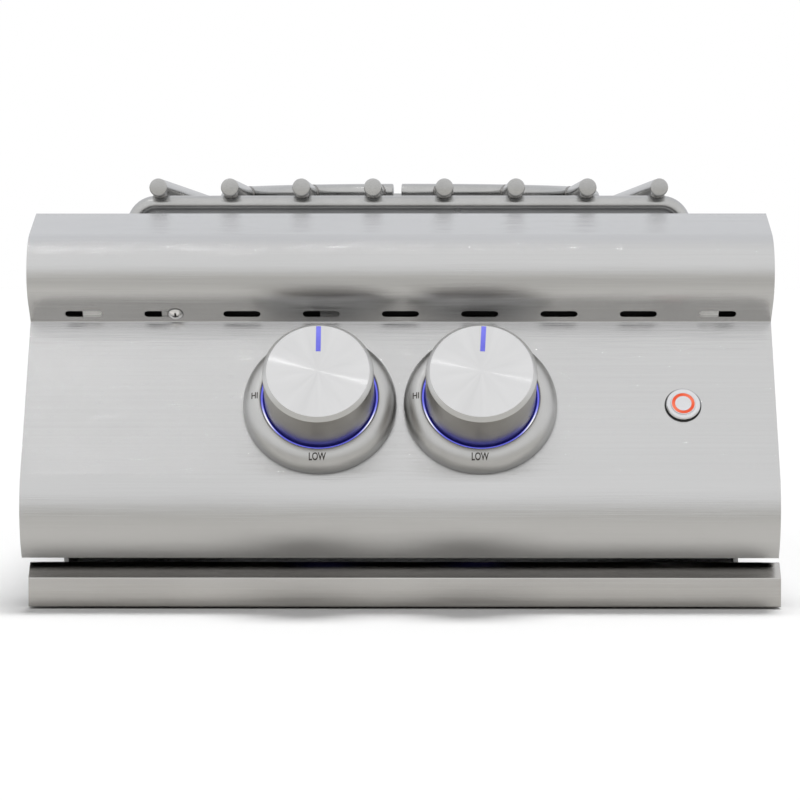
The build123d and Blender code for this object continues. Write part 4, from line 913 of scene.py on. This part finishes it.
steelDark, steelLight = grey(0.575), (0.645, 0.645, 0.648)
brushedAcross = (9.0, 9000.0, 9000.0)
finishTable = {
    "fascia brushed steel": (brushedSteel, steelDark, steelLight, (0.14, 0.18), brushedAcross, 0.000065),
    "side brushed steel": (brushedSteel, steelDark, steelLight, (0.18, 0.24), (4500.0, 4500.0, 9.0)),
    "tray brushed steel": (
        brushedSteel, (0.50, 0.49, 0.48), (0.64, 0.63, 0.62), (0.14, 0.20), brushedAcross, 0.000035, 9.0),
    "chassis steel": (
        brushedSteel, (0.46, 0.465, 0.47), (0.58, 0.585, 0.59), (0.34, 0.44), (1300.0, 9.0, 1300.0)),
    # painted shade: the bulkhead is near-black in the middle, with painted light at its very ends
    "bulkhead steel": (paintedEndLight, grey(0.05), grey(0.55), (0.4, 0.5), (0.2225, 0.2245)),
    # painted shade: the top frame is darker than the other brushed steel, standing in for the shade under
    # the grid
    "top frame steel": (brushedSteel, grey(0.42), grey(0.50), (0.28, 0.38), (1500.0, 8.0, 1500.0)),
    "pan steel": (plainMetal, grey(0.42), grey(0.56), (0.3, 0.42)),
    "cast burner": (plainMetal, (0.10, 0.095, 0.09), (0.20, 0.19, 0.18), (0.5, 0.66), 1100.0, 30.0, 0.6),
    "grid bar steel": (
        plainMetal, (0.45, 0.45, 0.445), (0.57, 0.57, 0.565), (0.20, 0.28), 1500.0, 35.0, 0.3),
    "weld bead": (plainMetal, (0.22, 0.21, 0.20), (0.45, 0.44, 0.43), (0.35, 0.5), 1500.0, 300.0, 0.4),
    "pipe steel": (plainMetal, (0.36, 0.36, 0.37), (0.50, 0.50, 0.51), (0.34, 0.46)),
    "valve casting": (plainMetal, (0.48, 0.48, 0.49), (0.62, 0.62, 0.63), (0.36, 0.48)),
    "brass": (plainMetal, (0.62, 0.42, 0.14), (0.76, 0.55, 0.22), (0.22, 0.36)),
    "spring wire": (plainMetal, grey(0.45), grey(0.6), (0.25, 0.35)),
    # painted light and shade: the brackets behind the slots are dark near the middle of the fascia and
    # bright towards its ends
    "clip zinc": (paintedEndLight, grey(0.20), (0.92, 0.92, 0.91), (0.5, 0.6), (0.06, 0.185)),
    # the black is painted shade in the screw's cross and a painted shadow round its rim
    "cross-head screw": (crossScrew, grey(0.82), grey(0.92), grey(0.012), (0.18, 0.26)),
    "screw steel": (plainMetal, grey(0.58), grey(0.72), (0.18, 0.28)),
    "seal rubber": (softBlack, grey(0.010), grey(0.022), (0.55, 0.7)),
    "black plastic": (softBlack, grey(0.018), grey(0.035), (0.4, 0.5)),
    "letter ink": (softBlack, (0.035, 0.03, 0.026), (0.07, 0.06, 0.055), (0.5, 0.6)),
    "igniter ceramic": (
        plainMetal, (0.74, 0.72, 0.68), (0.84, 0.82, 0.79), (0.3, 0.4), 700.0, 25.0, 0.15, 0.0),
    "button steel": (
        turnedMetal, fascia.switchX, (0.70, 0.70, 0.72), (0.80, 0.80, 0.82), (0.2, 0.28), 0.000003),
    "button light": (
        litRing, fascia.switchX,
        [(0.0, (0.60, 0.05, 0.015)), (0.5, (0.84, 0.10, 0.035)), (1.0, (0.92, 0.19, 0.10))],
        (-150.0, 40.0), 70.0, 0.45, 0.0050, 0.0002),
}
for side, x in knobPlaces.items():
    finishTable |= {
        f"{side} knob side": (
            knobSide, x, (0.40, 0.385, 0.36), (0.48, 0.465, 0.44), (0.66, 0.66, 0.655), (0.30, 0.36),
            knob.top - knob.chamfer),
        f"{side} knob face": (spunFace, x, (0.70, 0.70, 0.705), (0.77, 0.77, 0.775), (0.17, 0.18)),
        # painted shade on the bezel: its colour darkens towards the panel over its lowest 6 mm
        f"{side} bezel steel": (
            turnedMetal, x, (0.52, 0.52, 0.515), (0.60, 0.60, 0.595), (0.34, 0.40), 0.000005,
            (0.0003, 0.006), 0.55),
        f"{side} ring light": (
            litRing, x, [(0.0, (0.010, 0.010, 0.13)), (0.45, (0.15, 0.16, 0.82)),
                         (0.7, (0.36, 0.38, 1.0)), (1.0, grey(1.0))],
            (-153.0, -30.0), 26.0, 0.45, 0.0360, 0.0003),
        f"{side} pointer light": (litBar, x, (0.06, 0.06, 0.42), (0.22, 0.23, 0.80)),
    }
finishes = {name: make(name, *values) for name, (make, *values) in finishTable.items()}
print("finishes:", len(finishes))


# Pieces

makeFascia(fascia)
print("fascia made")
for side, x in knobPlaces.items():
    turnedPiece(f"{side}_bezel_dome", bezelRing, x, f"{side} bezel steel", "chassis", "bezel_steel",
                (f"{side}_bezel",), bezel.sides)
    turnedPiece(f"{side}_lit_ring", lightRingProfile(lightRing), x, f"{side} ring light", "chassis",
                "blue_light", (f"{side}_light_ring",), lightRing.sides)
    makeKnob(side, knob)
    makePointer(side, knob)
    for word, place in lettering.words.items():
        makeWord(side, word, place, lettering)
makeButton(button)
makeScrew(screw)
print("controls made")
makeTrayFront(trayFront)
makeGridRods(grid)
makeGridBars(grid)
makeGridRing(grid)
makeGridWelds(grid)
print("tray and grid made")

# Finishes of the pieces that keep their solid's own shape
nodeFinishes = {
    "side brushed steel": ["left_fascia_cheek", "right_fascia_cheek"],
    "chassis steel": ["chassis_floor", "chassis_left_side", "chassis_right_side", "chassis_back",
                      "burner_strap", "left_tray_rail", "right_tray_rail", "manifold_clip"],
    "clip zinc": ["fascia_bracket"],
    "bulkhead steel": ["front_bulkhead"],
    "top frame steel": ["top_frame"],
    "pan steel": ["burner_pan", "drip_tray_pan"],
    "cast burner": ["outer_burner", "outer_burner_cap", "inner_burner", "inner_burner_cap"],
    "pipe steel": ["gas_manifold", "outer_mixing_tube", "inner_mixing_tube"],
    "valve casting": ["left_valve_body", "right_valve_body", "left_valve_bonnet", "right_valve_bonnet"],
    "brass": ["left_orifice", "right_orifice", "gas_inlet"],
    "spring wire": ["left_valve_spring", "right_valve_spring", "switch_spring"],
    "screw steel": ["bezel_screws", "chassis_screws", "left_valve_stem", "right_valve_stem",
                    "left_stem_collar", "right_stem_collar"],
    "button steel": ["switch_nut"],
    "black plastic": ["power_jack"],
    "igniter ceramic": ["igniter_electrodes"],
}
for finish, names in nodeFinishes.items():
    for name in names:
        slots = nodes[name].data.materials
        if not slots:
            slots.append(None)
        for number in range(len(slots)):
            slots[number] = finishes[finish]
print("nodes finished:", sum(len(names) for names in nodeFinishes.values()))


# Studio: pale floor, soft light, camera

studio = Sizes(
    fill=0.42, horizon=0.80, belt=0.98, beltFrom=0.30, beltTo=0.60, zenith=0.95,
    front=grey(1.0), behind=(0.905, 0.915, 0.94), turnover=0.3,
    floorSize=60.0, floorDrop=0.0004, floorGrain=40.0, grainDepth=0.01,
    floorTone=(0.72, 0.705, 0.675), floorDim=(0.57, 0.56, 0.535), floorWhite=grey(0.97),
    # the floor's painted falloff shade, seen by mirrors, along y: where it starts, is full, eases off and
    # ends, and the share kept far off
    dimFrom=-0.45, dimFull=-0.75, dimEase=-1.0, dimTo=-2.0, dimLeft=0.2,
    skyPower=2.0, skyAngle=24.0, skyTravel=(-0.07, -0.15, -1.0),
    streakPower=0.04, streakAngle=0.8, streakTravel=(0.267, 0.3375, -0.902),
)


def makeWorld(s):
    # white to the camera; mirrors see a sky that pales from the horizon up and is cooler behind;
    # everything else gets an even fill
    world = bpy.data.worlds.new("studio")
    bpy.context.scene.world = world
    world.use_nodes = True
    t = Tree(world.node_tree)
    camera, glossy, through = (t.node("ShaderNodeLightPath", out=f"Is {ray} Ray")
                               for ray in ("Camera", "Glossy", "Transmission"))
    y, z = t.parts(t.place("Generated"))[1:]
    sky = t.span(z, 0.0, s.beltFrom, s.horizon, s.belt) * t.span(z, s.beltTo, 1.0, 1.0, s.zenith / s.belt)
    mirrored = glossy.math("MAXIMUM", glossy, through)
    level = camera + (1 - camera) * (mirrored * sky + (1 - mirrored) * s.fill)
    cooler = t.span(y, -s.turnover, s.turnover) * mirrored
    background = world.node_tree.nodes["Background"]
    t.join(background.inputs["Strength"], level)
    t.join(background.inputs["Color"], t.tint(cooler, s.front, s.behind))


def makeFloor(s):
    # flat sheet under the object: warm grey to mirrors, with a band of painted shade in front, lifted
    # towards white where the camera sees it
    corners = joined(*(cornerSigns * s.floorSize / 2).T, -s.floorDrop)
    mesh = bpy.data.meshes.new("floor")
    mesh.from_pydata(corners.tolist(), [], [(0, 1, 2, 3)])
    floor = placed("floor", mesh)
    f = Finish("pale floor", Roughness=0.9, Specular_IOR_Level=0.0)
    camera = f.node("ShaderNodeLightPath", out="Is Camera Ray")
    grain = f.noise(f.place(), s.floorGrain)
    y = f.parts(f.place())[1]
    # painted shade: mirrors see the floor darken from 0.45 to 0.75 m in front, ease back from 1 m to 2 m,
    # and keep a fifth of it beyond, standing in for light that falls off away from the object
    paintedFalloff = f.span(y, s.dimFrom, s.dimFull) * f.span(y, s.dimEase, s.dimTo, 1.0, s.dimLeft)
    mirrored = f.tint(paintedFalloff, s.floorTone, s.floorDim)
    seen = camera + (grain - 0.5) * s.grainDepth
    mesh.materials.append(f.feed(Base_Color=f.tint(seen, mirrored, s.floorWhite)))


def placeSun(name, power, angle, travel):
    # parallel light that travels along the given direction
    light = bpy.data.lights.new(name, "SUN")
    light.energy, light.angle = power, radians(angle)
    lamp = placed(name, light)
    lamp.rotation_euler = Vector(travel).to_track_quat("-Z", "Y").to_euler()
    return lamp


def makeLamps(s):
    # wide soft light from above, and a faint narrow one that draws the streaks on the spun knobs
    placeSun("soft sky", s.skyPower, s.skyAngle, s.skyTravel).visible_glossy = False
    placeSun("streak", s.streakPower, s.streakAngle, s.streakTravel)


camera = Sizes(
    place=(0.014, -2.310, 0.216), aim=(0.0001, -0.380, 0.1338), lens=137.85, sensor=36.0, far=50.0)


def makeCamera(c):
    # long lens in front of the object, turned from its place to its aim
    lens = bpy.data.cameras.new("camera")
    lens.lens, lens.sensor_width, lens.clip_end = c.lens, c.sensor, c.far
    view = placed("camera", lens)
    view.location = c.place
    view.rotation_euler = (Vector(c.aim) - Vector(c.place)).to_track_quat("-Z", "Y").to_euler()
    bpy.context.scene.camera = view


makeWorld(studio)
makeFloor(studio)
makeLamps(studio)
makeCamera(camera)
bpy.context.scene.view_settings.view_transform = "Standard"
print("studio ready")
